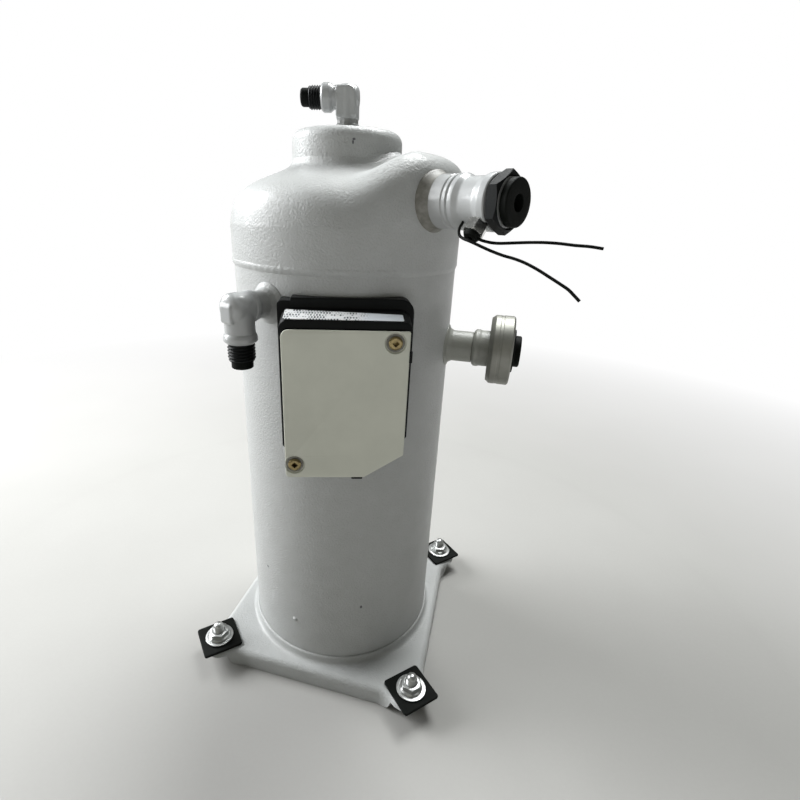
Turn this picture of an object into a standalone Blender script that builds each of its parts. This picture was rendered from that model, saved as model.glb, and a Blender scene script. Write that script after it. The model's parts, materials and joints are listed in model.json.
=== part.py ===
"""Hermetic scroll compressor with an unloading chamber on top, built as separate parts.

Every dimension is in millimetres and the helpers turn it into metres. The origin is on the
shell axis in the plane the compressor stands on, +Z runs up the shell, and -Y is the front.
Heights are measured from the standing plane and distances from the shell axis.
"""
import math

import bmesh
import bpy
from mathutils import Matrix, Vector

MM = 0.001
GAP = 0.3  # clearance between touching pieces
MERGE = 0.00001

# Shell
SHELL_R = 90.25
SHELL_WALL = 3.5
SHELL_BOTTOM = 24.0
SEAM_Z = 374.0
LAP_R = 87.7
LAP_TOP = 386.0
CAP_R = 91.3
HAT_R = 42.1
HAT_BOTTOM = 440.0
HAT_TOP = 468.0

# Base plate and feet
BOLT_SQUARE = 190.5
BOLT_U = BOLT_SQUARE / math.sqrt(2)
PLATE_TOP = 18.0
SHEET = 2.5
PLATE_SIDE = 102.5
LEG_HALF = 20.0
LEG_FILLET = 20.0
LEG_END = BOLT_U + 15.0
LEG_END_ROUND = 16.0
SKIRT_END = 132.0
COLLAR_IN = 86.8
PAD = 35.5
PAD_T = 2.5
WASHER_R = 13.0
WASHER_T = 1.5
BOLT_R = 4.9

# Ports: direction round the shell in degrees from +X, and height
DISCHARGE = (-31.0, 419.7)
SUCTION = (0.0, 310.0)
INJECTION = (-110.1, 350.0)
INJECTION_LEG = 116.0
UNLOAD_ARM = (190.0, 490.0)
TERMINAL = (-72.0, 262.0)
BOX_TURN = 18.0

# Raised pocket in the top cap behind the discharge port: the middle, the end of the full height and
# the end of the blend, in degrees round the shell, beside the hat and at the outer wall
POCKET_INSIDE = (0.0, 10.0, 58.0)
POCKET_OUTSIDE = (-12.0, 22.0, 64.0)

# Scroll set and shaft
ORBIT = 3.8
WRAP_PITCH = 17.0
WRAP_T = 3.6
WRAP_TURNS = 3.0
WRAP_START = 3.2
WRAP_STEPS = 48
SHAFT_R = 13.0
PIN_R = 8.5

SEGMENTS = 30
SHELL_SEGMENTS = 40
PORT_SEGMENTS = 24
SMALL_SEGMENTS = 16
BORE_SEGMENTS = 10


def clear_scene():
    for item in list(bpy.data.objects):
        bpy.data.objects.remove(item, do_unlink=True)


def make_collection(name):
    collection = bpy.data.collections.new(name)
    bpy.context.scene.collection.children.link(collection)
    return collection


def make_material(name, color, roughness, metallic=0.0):
    material = bpy.data.materials.new(name)
    material.use_nodes = True
    shader = material.node_tree.nodes["Principled BSDF"]
    shader.inputs["Base Color"].default_value = (*color, 1.0)
    shader.inputs["Roughness"].default_value = roughness
    shader.inputs["Metallic"].default_value = metallic
    return material


clear_scene()
PARTS = make_collection("scroll_compressor")
CUTTERS = make_collection("cutters")

PAINT = make_material("grey_paint", (0.62, 0.63, 0.61), 0.55)
STEEL = make_material("bare_steel", (0.45, 0.45, 0.44), 0.35, 1.0)
ZINC = make_material("zinc_plate", (0.70, 0.70, 0.68), 0.30, 1.0)
CAST = make_material("cast_iron", (0.20, 0.20, 0.21), 0.60, 0.8)
BLACK = make_material("black_plastic", (0.02, 0.02, 0.02), 0.45)
RUBBER = make_material("black_rubber", (0.02, 0.02, 0.02), 0.80)
COVER = make_material("cover_plastic", (0.30, 0.31, 0.27), 0.50)
LABEL = make_material("label_film", (0.85, 0.86, 0.86), 0.40)
BRASS = make_material("yellow_plate", (0.45, 0.37, 0.20), 0.35, 1.0)
COPPER = make_material("copper_winding", (0.55, 0.25, 0.12), 0.40, 1.0)


def link(name, mesh, frame, material=None):
    """An object in the model, or in the cutters when it has no material."""
    item = bpy.data.objects.new(name, mesh)
    (PARTS if material else CUTTERS).objects.link(item)
    shift = Matrix.Translation(frame.to_translation() * MM)
    item.matrix_world = shift @ frame.to_3x3().to_4x4()
    if material:
        mesh.materials.append(material)
    else:
        item.hide_render = True
        item.display_type = "WIRE"
    return item


def from_bmesh(name, bm, frame, material):
    mesh = bpy.data.meshes.new(name)
    bmesh.ops.recalc_face_normals(bm, faces=bm.faces)
    bm.to_mesh(mesh)
    bm.free()
    return link(name, mesh, frame, material)


def turned(name, profile, material=None, frame=Matrix(), closed=False, steps=SEGMENTS):
    """A turned piece from (radius, height) points that run down the outer side."""
    mesh = bpy.data.meshes.new(name)
    points = [(r * MM, 0.0, z * MM) for r, z in profile]
    edges = [(i, i + 1) for i in range(len(points) - 1)]
    if closed:
        edges.append((len(points) - 1, 0))
    mesh.from_pydata(points, edges, [])
    item = link(name, mesh, frame, material)
    screw = item.modifiers.new("turn", "SCREW")
    screw.axis = "Z"
    screw.steps = screw.render_steps = steps
    screw.use_merge_vertices = True
    screw.merge_threshold = MERGE
    screw.use_smooth_shade = True
    weld = item.modifiers.new("axis", "WELD")
    weld.merge_threshold = MERGE
    return item


def ring(name, outer, inner, bottom, top, material=None, frame=Matrix(), steps=SEGMENTS):
    profile = [(outer, top), (outer, bottom), (inner, bottom), (inner, top)]
    return turned(name, profile, material, frame, closed=True, steps=steps)


def rod(name, radius, bottom, top, material=None, frame=Matrix(), steps=PORT_SEGMENTS):
    profile = [(0, top), (radius, top), (radius, bottom), (0, bottom)]
    return turned(name, profile, material, frame, steps=steps)


def hexagon(name, across_flats, bottom, top, material=None, frame=Matrix()):
    bm = bmesh.new()
    radius = across_flats / math.sqrt(3) * MM
    middle = Matrix.Translation((0, 0, (bottom + top) / 2 * MM))
    bmesh.ops.create_cone(bm, cap_ends=True, segments=6, radius1=radius, radius2=radius,
                          depth=(top - bottom) * MM, matrix=middle)
    return from_bmesh(name, bm, frame, material)


def box(name, low, high, material=None, frame=Matrix(), rounding=0.0, segments=2):
    bm = bmesh.new()
    size = [(b - a) * MM for a, b in zip(low, high)]
    middle = [(a + b) / 2 * MM for a, b in zip(low, high)]
    bmesh.ops.create_cube(bm, size=1.0, matrix=Matrix.Translation(middle) @ Matrix.Diagonal((*size, 1)))
    if rounding:
        bmesh.ops.bevel(bm, geom=bm.edges[:], offset=rounding * MM, segments=segments,
                        profile=0.5, affect="EDGES")
    return from_bmesh(name, bm, frame, material)


def prism(name, outline, bottom, top, material=None, frame=Matrix()):
    """An outline of (x, y) points, raised from one height to another."""
    bm = bmesh.new()
    face = bm.faces.new([bm.verts.new((x * MM, y * MM, bottom * MM)) for x, y in outline])
    raised = bmesh.ops.extrude_face_region(bm, geom=[face])
    moved = [v for v in raised["geom"] if isinstance(v, bmesh.types.BMVert)]
    bmesh.ops.translate(bm, verts=moved, vec=(0, 0, (top - bottom) * MM))
    return from_bmesh(name, bm, frame, material)


def boolean(item, operation, tools):
    for tool in tools:
        modifier = item.modifiers.new(operation.lower(), "BOOLEAN")
        modifier.operation = operation
        modifier.object = tool
        modifier.solver = "EXACT"
    return item


def cut(item, *tools):
    return boolean(item, "DIFFERENCE", tools)


def join(item, *tools):
    return boolean(item, "UNION", tools)


def turn_z(degrees):
    return Matrix.Rotation(math.radians(degrees), 4, "Z")


def port_frame(port):
    """A frame on the shell axis at the port's height whose Z runs straight out through the port."""
    degrees, height = port
    return Matrix.Translation((0, 0, height)) @ turn_z(degrees) @ Matrix.Rotation(math.pi / 2, 4, "Y")


def around(port, distance):
    """The point on a port's axis at a distance from the shell axis."""
    angle = math.radians(port[0])
    return Vector((distance * math.cos(angle), distance * math.sin(angle), port[1]))


# ---------------------------------------------------------------- shell

def smooth(value):
    value = min(max(value, 0.0), 1.0)
    return value * value * (3 - 2 * value)


def pocket_weight(radius, angle):
    """How much of the raised pocket a point of the top cap takes, from 0 to 1."""
    share = smooth((radius - 50) / 30)
    middle, flat, edge = (a + (b - a) * share for a, b in zip(POCKET_INSIDE, POCKET_OUTSIDE))
    turn = math.degrees(math.acos(math.cos(angle - math.radians(middle))))
    return smooth((edge - turn) / (edge - flat))


def build_top_cap():
    """The pressed cap: a sloping shoulder, lofted into the raised pocket for the discharge port."""
    shoulder = [(91.3, 374), (91.3, 400), (90.2, 407.5), (87.2, 415.3), (81, 423.6), (69, 431.5),
                (52, 438), (45.5, 441.3), (42.5, 446.5)]
    pocket = [(91.3, 374), (91.3, 410), (91.1, 431), (89, 440.5), (83, 446.9), (73, 450.8),
              (56, 451.9), (46.5, 451.5), (42.5, 453)]
    shoulder_in = [(42.6, 440.3), (62, 431), (77.5, 421), (86.5, 407), (88, 396), (88, 374)]
    pocket_in = [(42.6, 447.8), (62, 447.6), (76.5, 445), (85.5, 437), (88, 424), (88, 374)]
    bm = bmesh.new()
    sections = []
    for step in range(SHELL_SEGMENTS):
        angle = 2 * math.pi * step / SHELL_SEGMENTS
        section = []
        for low, high in zip(shoulder + shoulder_in, pocket + pocket_in):
            weight = pocket_weight(high[0], angle)
            radius = low[0] + (high[0] - low[0]) * weight
            height = low[1] + (high[1] - low[1]) * weight
            point = (radius * math.cos(angle) * MM, radius * math.sin(angle) * MM, height * MM)
            section.append(bm.verts.new(point))
        sections.append(section)
    for here, there in zip(sections, sections[1:] + sections[:1]):
        for i in range(len(here)):
            j = (i + 1) % len(here)
            bm.faces.new((here[i], there[i], there[j], here[j]))
    cap = from_bmesh("top_cap", bm, Matrix(), PAINT)
    cut(cap, rod("top_cap_port", 12.5, 70, 100, frame=port_frame(DISCHARGE)))


def build_shell():
    inner = SHELL_R - SHELL_WALL
    shell = turned("mid_shell", [
        (LAP_R, LAP_TOP), (LAP_R, SEAM_Z - GAP), (SHELL_R, SEAM_Z - GAP), (SHELL_R, SHELL_BOTTOM),
        (inner, SHELL_BOTTOM), (inner, SEAM_Z - 6), (LAP_R - SHELL_WALL, SEAM_Z),
        (LAP_R - SHELL_WALL, LAP_TOP)], PAINT, closed=True, steps=SHELL_SEGMENTS)
    cut(shell,
        rod("suction_hole", 9.5, 70, 100, frame=port_frame(SUCTION)),
        rod("injection_hole", 5.0, 70, 100, frame=port_frame(INJECTION)),
        rod("terminal_hole", 15.0, 70, 100, frame=port_frame(TERMINAL)))
    build_top_cap()
    turned("lower_cap", [
        (0, 3.5), (30, 3.5), (64, 7.5), (77, 15.5), (83, 29), (83, 44),
        (86.4, 44), (86.4, 28), (80.5, 12.5), (66, 4), (30, 0), (0, 0)],
        PAINT, steps=SHELL_SEGMENTS)
    turned("unloading_hat", [
        (4.5, HAT_TOP), (33.5, HAT_TOP), (39.6, 465.4), (HAT_R, 459.5), (HAT_R, HAT_BOTTOM),
        (14, HAT_BOTTOM), (14, 443.5), (37.8, 443.5), (37.8, 458), (32, 463.8), (4.5, 463.8)],
        PAINT, closed=True)


# ---------------------------------------------------------------- base and feet

def leg_outline(inset):
    """One leg of the base outline, from the middle of one side to the middle of the next."""
    side = (PLATE_SIDE - inset) * math.sqrt(2)
    half = LEG_HALF - inset
    fillet = LEG_FILLET + inset
    corner = LEG_END_ROUND - inset
    centre_u = side - half + fillet * math.tan(math.pi / 8)
    points = [(side / 2, side / 2)]
    for i in range(4):
        angle = math.pi * 5 / 4 + math.pi / 4 * i / 3
        points.append((centre_u + fillet * math.cos(angle), half + fillet + fillet * math.sin(angle)))
    for i in range(5):
        angle = math.pi / 2 * (1 - i / 4)
        points.append((LEG_END - corner + corner * math.cos(angle), half - corner + corner * math.sin(angle)))
    return points + [(u, -v) for u, v in reversed(points[1:])]


def base_outline(inset=0.0):
    outline = []
    for quarter in range(4):
        angle = math.pi / 4 + quarter * math.pi / 2
        for u, v in reversed(leg_outline(inset)):
            outline.append((u * math.cos(angle) - v * math.sin(angle),
                            u * math.sin(angle) + v * math.cos(angle)))
    return outline


def build_base():
    plate = prism("base_plate", base_outline(), 0, PLATE_TOP, PAINT)
    rounding = plate.modifiers.new("pressed_edge", "BEVEL")
    rounding.width = 5.0 * MM
    rounding.segments = 2
    rounding.limit_method = "WEIGHT"
    mark_top_edges(plate.data)
    hollow = prism("base_hollow", base_outline(SHEET), -5, PLATE_TOP - SHEET)
    collar = turned("base_collar", [
        (94.5, 16), (94.5, 22), (92.6, 25.6), (90.6, 26), (90.6, 23.7), (80, 23.7), (80, 16)][::-1],
        closed=True, steps=SHELL_SEGMENTS)
    cut(plate, hollow)
    join(plate, collar)
    cut(plate, rod("base_opening", COLLAR_IN, 5, 40, steps=SHELL_SEGMENTS))
    for quarter in range(4):
        frame = turn_z(45 + 90 * quarter)
        cut(plate, box(f"leg_end_{quarter}", (SKIRT_END, -30, -5), (170, 30, PLATE_TOP - SHEET - 1),
                       frame=frame))
        hole = Matrix.Translation((BOLT_U * math.cos(math.radians(45 + 90 * quarter)),
                                   BOLT_U * math.sin(math.radians(45 + 90 * quarter)), 0))
        cut(plate, rod(f"bolt_hole_{quarter}", BOLT_R + 0.6, 5, 30, frame=hole, steps=BORE_SEGMENTS))


def mark_top_edges(mesh):
    """Give the bevel weight to the edges round the top face."""
    weights = mesh.attributes.new("bevel_weight_edge", "FLOAT", "EDGE")
    top = PLATE_TOP * MM - MERGE
    for edge in mesh.edges:
        if all(mesh.vertices[v].co.z > top for v in edge.vertices):
            weights.data[edge.index].value = 1.0


def build_feet():
    corners = {"back_right": 45, "back_left": 135, "front_left": 225, "front_right": 315}
    for name, degrees in corners.items():
        angle = math.radians(degrees)
        place = Matrix.Translation((BOLT_U * math.cos(angle), BOLT_U * math.sin(angle), 0)) @ turn_z(degrees)
        base = PLATE_TOP + GAP
        pad = box(f"foot_pad_{name}", (-PAD / 2, -PAD / 2, base), (PAD / 2, PAD / 2, base + PAD_T),
                  RUBBER, place)
        cut(pad, rod(f"pad_hole_{name}", BOLT_R + 0.5, 5, 30, frame=place, steps=BORE_SEGMENTS))
        base += PAD_T + GAP
        ring(f"foot_washer_{name}", WASHER_R, BOLT_R + 0.5, base, base + WASHER_T, ZINC, place,
             SMALL_SEGMENTS)
        base += WASHER_T + GAP
        nut = hexagon(f"foot_nut_{name}", 16, base, base + 6.5, ZINC, place)
        join(nut, rod(f"nut_flange_{name}", 10, base, base + 1.4, frame=place, steps=BORE_SEGMENTS))
        cut(nut, rod(f"nut_hole_{name}", BOLT_R + 0.4, 5, 40, frame=place, steps=BORE_SEGMENTS))
        bolt = hexagon(f"foot_bolt_{name}", 16, 9.2, PLATE_TOP - SHEET - GAP, STEEL, place)
        join(bolt, turned(f"bolt_shank_{name}", [
            (0, 38), (2.6, 37.4), (BOLT_R, 34.5), (BOLT_R, 12), (0, 12)], frame=place, steps=BORE_SEGMENTS))


# ---------------------------------------------------------------- ports

def build_discharge():
    frame = port_frame(DISCHARGE)
    stub = turned("discharge_stub", [
        (16.8, 111.7), (16.8, 97), (19.3, 91), (19.3, 80), (12.5, 80), (12.5, 111.7)],
        PAINT, frame, closed=True, steps=PORT_SEGMENTS)
    cut(stub, rod("discharge_saddle", CAP_R + GAP, 380, 450, steps=96))
    adapter = turned("discharge_adapter", [
        (14.4, 146.6), (14.4, 138.5), (17, 138.5), (17, 134), (15.2, 129), (15.2, 119), (17, 115),
        (17, 112), (11.3, 112), (11.3, 146.6)], PAINT, frame, closed=True, steps=PORT_SEGMENTS)
    cut(adapter,
        rod("sensor_seat", 7.4, 15.2, 40, frame=sensor_frame(), steps=SMALL_SEGMENTS),
        lead_hole("low_lead_hole", LEAD_LOW))
    nut = hexagon("discharge_nut", 32, 139.8, 147.5, BLACK, frame @ turn_z(30))
    cut(nut, rod("discharge_nut_bore", 14.9, 130, 160, frame=frame))
    turned("discharge_plug", [
        (0, 144), (5, 144), (5, 152.5), (13.2, 152.5), (14, 151.8), (14, 147.9), (10.9, 147.9), (10.9, 136),
        (0, 136)], RUBBER, frame, steps=PORT_SEGMENTS)
    rod("check_valve_disc", 11.9, 99, 101, STEEL, frame)


def build_suction():
    frame = port_frame(SUCTION)
    stub = turned("suction_stub", [
        (12.6, 111), (12.6, 97), (16.8, 91.8), (16.8, 80), (9.5, 80), (9.5, 111)],
        PAINT, frame, closed=True, steps=PORT_SEGMENTS)
    cut(stub, rod("suction_saddle", SHELL_R + GAP, 280, 340, steps=96))
    turned("suction_adapter", [
        (21.8, 134), (21.8, 129.5), (15, 129.5), (15, 113), (13.4, 111.3), (9.5, 111.3), (9.5, 134)],
        PAINT, frame, closed=True, steps=PORT_SEGMENTS)
    turned("suction_nut", [
        (24.8, 142.5), (28, 139.5), (28, 127), (25.4, 124), (15.4, 124), (15.4, 129.2), (22.3, 129.2),
        (22.3, 142.5)], STEEL, frame, closed=True, steps=PORT_SEGMENTS)
    turned("suction_plug", [
        (0, 149), (12, 149), (12.6, 148.4), (12.6, 144.2), (17.3, 144.2), (17.3, 142.9), (21.6, 141.8),
        (21.6, 134.4), (0, 134.4)], RUBBER, frame, steps=PORT_SEGMENTS)


def build_unloading_elbow():
    arm_frame = port_frame(UNLOAD_ARM)
    half = 8.3
    mid = UNLOAD_ARM[1]
    block = box("unloading_elbow", (-half, -half, 475.5), (half, half, mid + half), PAINT,
                turn_z(UNLOAD_ARM[0]), rounding=2.5)
    arm = turned("unloading_arm", [
        (0, 29), (8, 29), (8, 19.4), (9.7, 18.4), (9.7, 11), (8, 8), (0, 8)], frame=arm_frame)
    collar = rod("unloading_collar", 8.5, HAT_TOP + GAP, 478)
    bore = rod("unloading_bore", 4.9, 20, 40, frame=arm_frame, steps=SMALL_SEGMENTS)
    join(block, arm, collar)
    cut(block, bore)
    turned("unloading_cap", [
        (0, 35.2), (5.4, 35.2), (6.2, 34.2), (6.2, 29.3), (4.5, 29.3), (4.5, 21), (0, 21)],
        RUBBER, arm_frame, steps=SMALL_SEGMENTS)


def build_injection():
    frame = port_frame(INJECTION)
    stub = turned("injection_stub", [
        (9.6, 103), (9.6, 98), (14, 93), (14, 80), (5, 80), (5, 103)],
        PAINT, frame, closed=True, steps=PORT_SEGMENTS)
    cut(stub, rod("injection_saddle", SHELL_R + GAP, 320, 373, steps=96))
    half = 9.6
    mid = INJECTION[1]
    block = box("injection_elbow", (106, -half, mid - half), (126, half, mid + half), PAINT,
                turn_z(INJECTION[0]), rounding=2.5)
    arm = rod("injection_arm", 11.3, 103.3, 108, frame=frame)
    leg_frame = Matrix.Translation(around((INJECTION[0], 0), INJECTION_LEG))
    leg = turned("injection_leg", [
        (0, mid), (10.3, mid), (10.3, 332.8), (11.6, 331.2), (11.6, 327.4), (9.5, 326.4), (9.5, 314), (0, 314)],
        frame=leg_frame)
    bore = rod("injection_bore", 6.2, 300, 323, frame=leg_frame, steps=SMALL_SEGMENTS)
    join(block, arm, leg)
    cut(block, bore)
    turned("injection_cap", [
        (0, 322), (5.8, 322), (5.8, 313.7), (7.5, 313.7), (7.5, 309.4), (6.7, 308.6), (0, 308.6)],
        RUBBER, leg_frame, steps=SMALL_SEGMENTS)


# ---------------------------------------------------------------- discharge sensor and its leads

SENSOR_AT = 133.0
SENSOR_DOWN = 50.0

LEAD_R = 0.9
LEAD_SPACING = 4.5
LEAD_FRONT = [
    (107.1, -83.2, 400.1), (109.6, -84.2, 399.3), (112.0, -85.1, 398.4), (114.8, -85.7, 397.8),
    (118.3, -85.9, 397.3), (123.0, -85.8, 397.2), (131.4, -85.3, 397.8), (139.8, -84.9, 398.4),
    (148.1, -84.6, 398.7), (156.3, -84.5, 398.5), (164.5, -84.6, 397.9), (172.6, -84.7, 397.6),
    (179.8, -84.9, 396.8)]
LEAD_LOW = [
    (99.5, -70.3, 409.2), (98.4, -72.1, 406.8), (97.6, -74.4, 404.8), (97.6, -78.2, 402.6),
    (98.8, -82.6, 400.3), (101.5, -86.4, 398.9), (104.7, -88.8, 398.0), (108.5, -90.1, 396.7),
    (113.0, -91.0, 395.0), (119.0, -92.3, 392.9), (125.5, -93.6, 391.0), (132.4, -94.8, 389.5),
    (138.8, -96.2, 387.5), (145.7, -98.0, 384.5), (152.5, -100.1, 381.0), (158.2, -101.9, 378.0),
    (162.7, -103.4, 375.5), (166.1, -104.8, 372.7), (169.3, -106.3, 369.9)]


def sensor_frame():
    """A frame on the discharge axis whose Z points down and forward through the sensor."""
    angle = math.radians(DISCHARGE[0])
    down = math.radians(SENSOR_DOWN)
    outward = Vector((math.cos(angle), math.sin(angle), 0))
    forward = Vector((math.sin(angle), -math.cos(angle), 0))
    axis = forward * math.cos(down) - Vector((0, 0, math.sin(down)))
    turn = Matrix((outward, axis.cross(outward), axis)).transposed().to_4x4()
    return Matrix.Translation(around(DISCHARGE, SENSOR_AT)) @ turn


def smooth_route(points, spacing):
    """Points at an even spacing on a Catmull-Rom curve through the route's own points."""
    points = [Vector(p) for p in points]
    padded = [2 * points[0] - points[1]] + points + [2 * points[-1] - points[-2]]
    fine = []
    for a, b, c, d in zip(padded, padded[1:], padded[2:], padded[3:]):
        for i in range(12):
            t = i / 12
            fine.append(0.5 * (2 * b + (c - a) * t + (2 * a - 5 * b + 4 * c - d) * t * t
                               + (3 * b - a - 3 * c + d) * t ** 3))
    fine.append(points[-1])
    lengths = [0.0]
    for a, b in zip(fine, fine[1:]):
        lengths.append(lengths[-1] + (b - a).length)
    count = max(2, round(lengths[-1] / spacing))
    route = []
    for step in range(count + 1):
        target = lengths[-1] * step / count
        i = min(max(j for j, value in enumerate(lengths) if value <= target), len(fine) - 2)
        part = (target - lengths[i]) / (lengths[i + 1] - lengths[i])
        route.append(fine[i].lerp(fine[i + 1], part))
    return route


def build_lead(name, points):
    curve = bpy.data.curves.new(name, "CURVE")
    curve.dimensions = "3D"
    curve.bevel_depth = LEAD_R * MM
    curve.bevel_resolution = 2
    curve.use_fill_caps = True
    curve.materials.append(RUBBER)
    route = smooth_route(points, LEAD_SPACING)
    spline = curve.splines.new("POLY")
    spline.points.add(len(route) - 1)
    for point, place in zip(spline.points, route):
        point.co = (*(place * MM), 1.0)
    PARTS.objects.link(bpy.data.objects.new(name, curve))


def lead_hole(name, points):
    """The hole that a lead comes out of, along its first stretch."""
    start = Vector(points[0])
    turn = (Vector(points[1]) - start).to_track_quat("Z", "Y").to_matrix().to_4x4()
    frame = Matrix.Translation(start) @ turn
    return rod(name, LEAD_R + 0.5, -0.7, 6, frame=frame, steps=BORE_SEGMENTS)


def build_sensor():
    frame = sensor_frame()
    body = hexagon("sensor_fitting", 12, 15.6, 24, ZINC, frame)
    join(body, rod("sensor_end", 5.2, 23, 27, frame=frame, steps=SMALL_SEGMENTS))
    cut(body, lead_hole("front_lead_hole", LEAD_FRONT))
    build_lead("sensor_lead_front", LEAD_FRONT)
    build_lead("sensor_lead_low", LEAD_LOW)


# ---------------------------------------------------------------- terminal box, in a frame that faces it

BOX_HALF = 43.25
BOX_BOTTOM = 235.2
BOX_TOP_BACK = 351.5
BOX_TOP_FRONT = 347.8
BOX_BACK = 95.3
BOX_FRONT = 114.0
COVER_FRONT = 116.6
COVER_HALF = 41.5
COVER_TOP = 342.0
COVER_BOTTOM = 235.0
SCREWS = {"upper": (32.0, 334.3), "lower": (-35.0, 245.3)}


def build_terminal_box():
    frame = turn_z(BOX_TURN)
    base = box("terminal_base", (-46, -95, 257), (46, -72, 358.5), BLACK, frame)
    cut(base,
        rod("base_saddle", SHELL_R + GAP, 200, 372, steps=96),
        rod("base_window", 20, 60, 110, frame=port_frame(TERMINAL)),
        rod("base_notch", 14.6, 60, 110, frame=port_frame(INJECTION)))
    sides = [(-BOX_BACK, BOX_TOP_BACK), (-BOX_FRONT, BOX_TOP_FRONT), (-BOX_FRONT, BOX_BOTTOM),
             (-BOX_BACK, BOX_BOTTOM)]
    upright = frame @ Matrix(((0, 0, 1, 0), (1, 0, 0, 0), (0, 1, 0, 0), (0, 0, 0, 1)))
    case = prism("terminal_box", sides, -BOX_HALF, BOX_HALF, BLACK, upright)
    facing = frame @ Matrix(((1, 0, 0, 0), (0, 0, -1, 0), (0, 1, 0, 0), (0, 0, 0, 1)))
    lower = COVER_HALF - 0.2
    wide = BOX_HALF + 1
    outline = prism("box_outline", [
        (-lower, BOX_BOTTOM), (14, BOX_BOTTOM), (lower, BOX_BOTTOM + 18), (lower, 264), (wide, 266),
        (wide, 360), (-wide, 360), (-wide, 259), (-lower, 257)], 90, 120, frame=facing)
    boolean(case, "INTERSECT", [outline])
    cut(case,
        prism("box_hollow", [
            (-37.5, 239), (12.5, 239), (37.5, 255.5), (37.5, COVER_TOP - 3), (-37.5, COVER_TOP - 3)],
            BOX_BACK + 2.5, 120, frame=facing),
        rod("box_window", 20, 60, 110, frame=port_frame(TERMINAL)))
    cover = prism("terminal_cover", [
        (-COVER_HALF, COVER_BOTTOM + 3), (-COVER_HALF + 3, COVER_BOTTOM), (14, COVER_BOTTOM),
        (COVER_HALF, COVER_BOTTOM + 18), (COVER_HALF, COVER_TOP), (-COVER_HALF + 3, COVER_TOP),
        (-COVER_HALF, COVER_TOP - 3)], BOX_FRONT + GAP, COVER_FRONT, COVER, facing)
    for name, (side, height) in SCREWS.items():
        place = facing @ Matrix.Translation((side, height, 0))
        join(case, turned(f"screw_post_{name}", [
            (0, 99), (2.5, 99), (2.5, 113), (5.2, 113), (5.2, 96.4), (0, 96.4)],
            frame=place, steps=BORE_SEGMENTS))
        cut(cover, turned(f"screw_dish_{name}", [
            (0, 120), (7, 120), (7, 115.6), (2.5, 115.6), (2.5, 110), (0, 110)],
            frame=place, steps=SMALL_SEGMENTS))
        screw = turned(f"cover_screw_{name}", [
            (0, 117.6), (3.6, 117.6), (4.6, 116.9), (4.6, 115.9), (2.1, 115.9), (2.1, 101), (0, 101)],
            BRASS, place, steps=SMALL_SEGMENTS)
        cut(screw, box(f"screw_drive_{name}", (-1.7, -1.7, 116.2), (1.7, 1.7, 120),
                       frame=place @ turn_z(45)))
    slope = math.atan2(BOX_TOP_BACK - BOX_TOP_FRONT, BOX_FRONT - BOX_BACK)
    lid = frame @ Matrix.Translation((0, -BOX_FRONT, BOX_TOP_FRONT)) @ Matrix.Rotation(slope, 4, "X")
    prism("rating_label", [(-40, 0.6), (37, 0.6), (37, 10), (-40, 16)], GAP, GAP + 0.35, LABEL, lid)
    build_hermetic_terminal()


def build_hermetic_terminal():
    frame = port_frame(TERMINAL)
    cup = turned("hermetic_terminal", [
        (0, 92), (14.6, 92), (14.6, 86.5), (0, 86.5)], STEEL, frame, steps=PORT_SEGMENTS)
    for pin in range(3):
        angle = math.radians(90 + 120 * pin)
        place = frame @ Matrix.Translation((7 * math.cos(angle), 7 * math.sin(angle), 0))
        join(cup, rod(f"terminal_pin_{pin}", 1.6, 80, 105, frame=place, steps=12))


# ---------------------------------------------------------------- scroll set

def wrap_outline(phase):
    """A spiral wall of even thickness between two involutes of one base circle."""
    base = WRAP_PITCH / (2 * math.pi)
    half = WRAP_T / 2 / base

    def involute(roll, start):
        angle = roll + start + phase
        return (base * (math.cos(angle) + roll * math.sin(angle)),
                base * (math.sin(angle) - roll * math.cos(angle)))

    length = 2 * math.pi * WRAP_TURNS - WRAP_START
    rolls = [WRAP_START + length * i / WRAP_STEPS for i in range(WRAP_STEPS + 1)]
    outer = [involute(roll + half, -half) for roll in rolls]
    inner = [involute(roll - half, half) for roll in rolls]
    return outer + inner[::-1]


def build_scrolls():
    fixed = turned("fixed_scroll", [
        (24, 384), (24, 372), (76, 372), (76, 317.6), (69, 317.6), (69, 359), (7, 359), (7, 384)],
        CAST, closed=True)
    join(fixed, prism("fixed_wrap", wrap_outline(0), 334.6, 360))
    cut(fixed, box("fixed_inlet", (60, -14, 326), (80, 14, 352)))
    pin = Matrix.Translation((ORBIT, 0, 0))
    orbiting = turned("orbiting_scroll", [
        (0, 334), (62, 334), (62, 325), (21.5, 325), (21.5, 304), (14.6, 304), (14.6, 323.5), (0, 323.5)],
        CAST, pin)
    join(orbiting, prism("orbiting_wrap", wrap_outline(math.pi), 333, 358.4, frame=pin))
    for side in (1, -1):
        low, high = sorted((side * 45.5, side * 70))
        cut(orbiting, box(f"oldham_slot_{side}", (-13.2, low, 320), (13.2, high, 330.2), frame=pin))
    oldham = ring("oldham_ring", 60, 48.2, 318.6, 323.6, STEEL, pin)
    for side in (1, -1):
        low, high = sorted((side * 50, side * 58))
        join(oldham,
             box(f"upper_key_{side}", (-5, low, 320), (5, high, 329.6), frame=pin),
             box(f"lower_key_{side}", (low, -5, 312.6), (high, 5, 322), frame=pin))
    turned("floating_seal", [(44, 383), (44, 373.5), (25.5, 373.5), (25.5, 383)], STEEL, closed=True)


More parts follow.
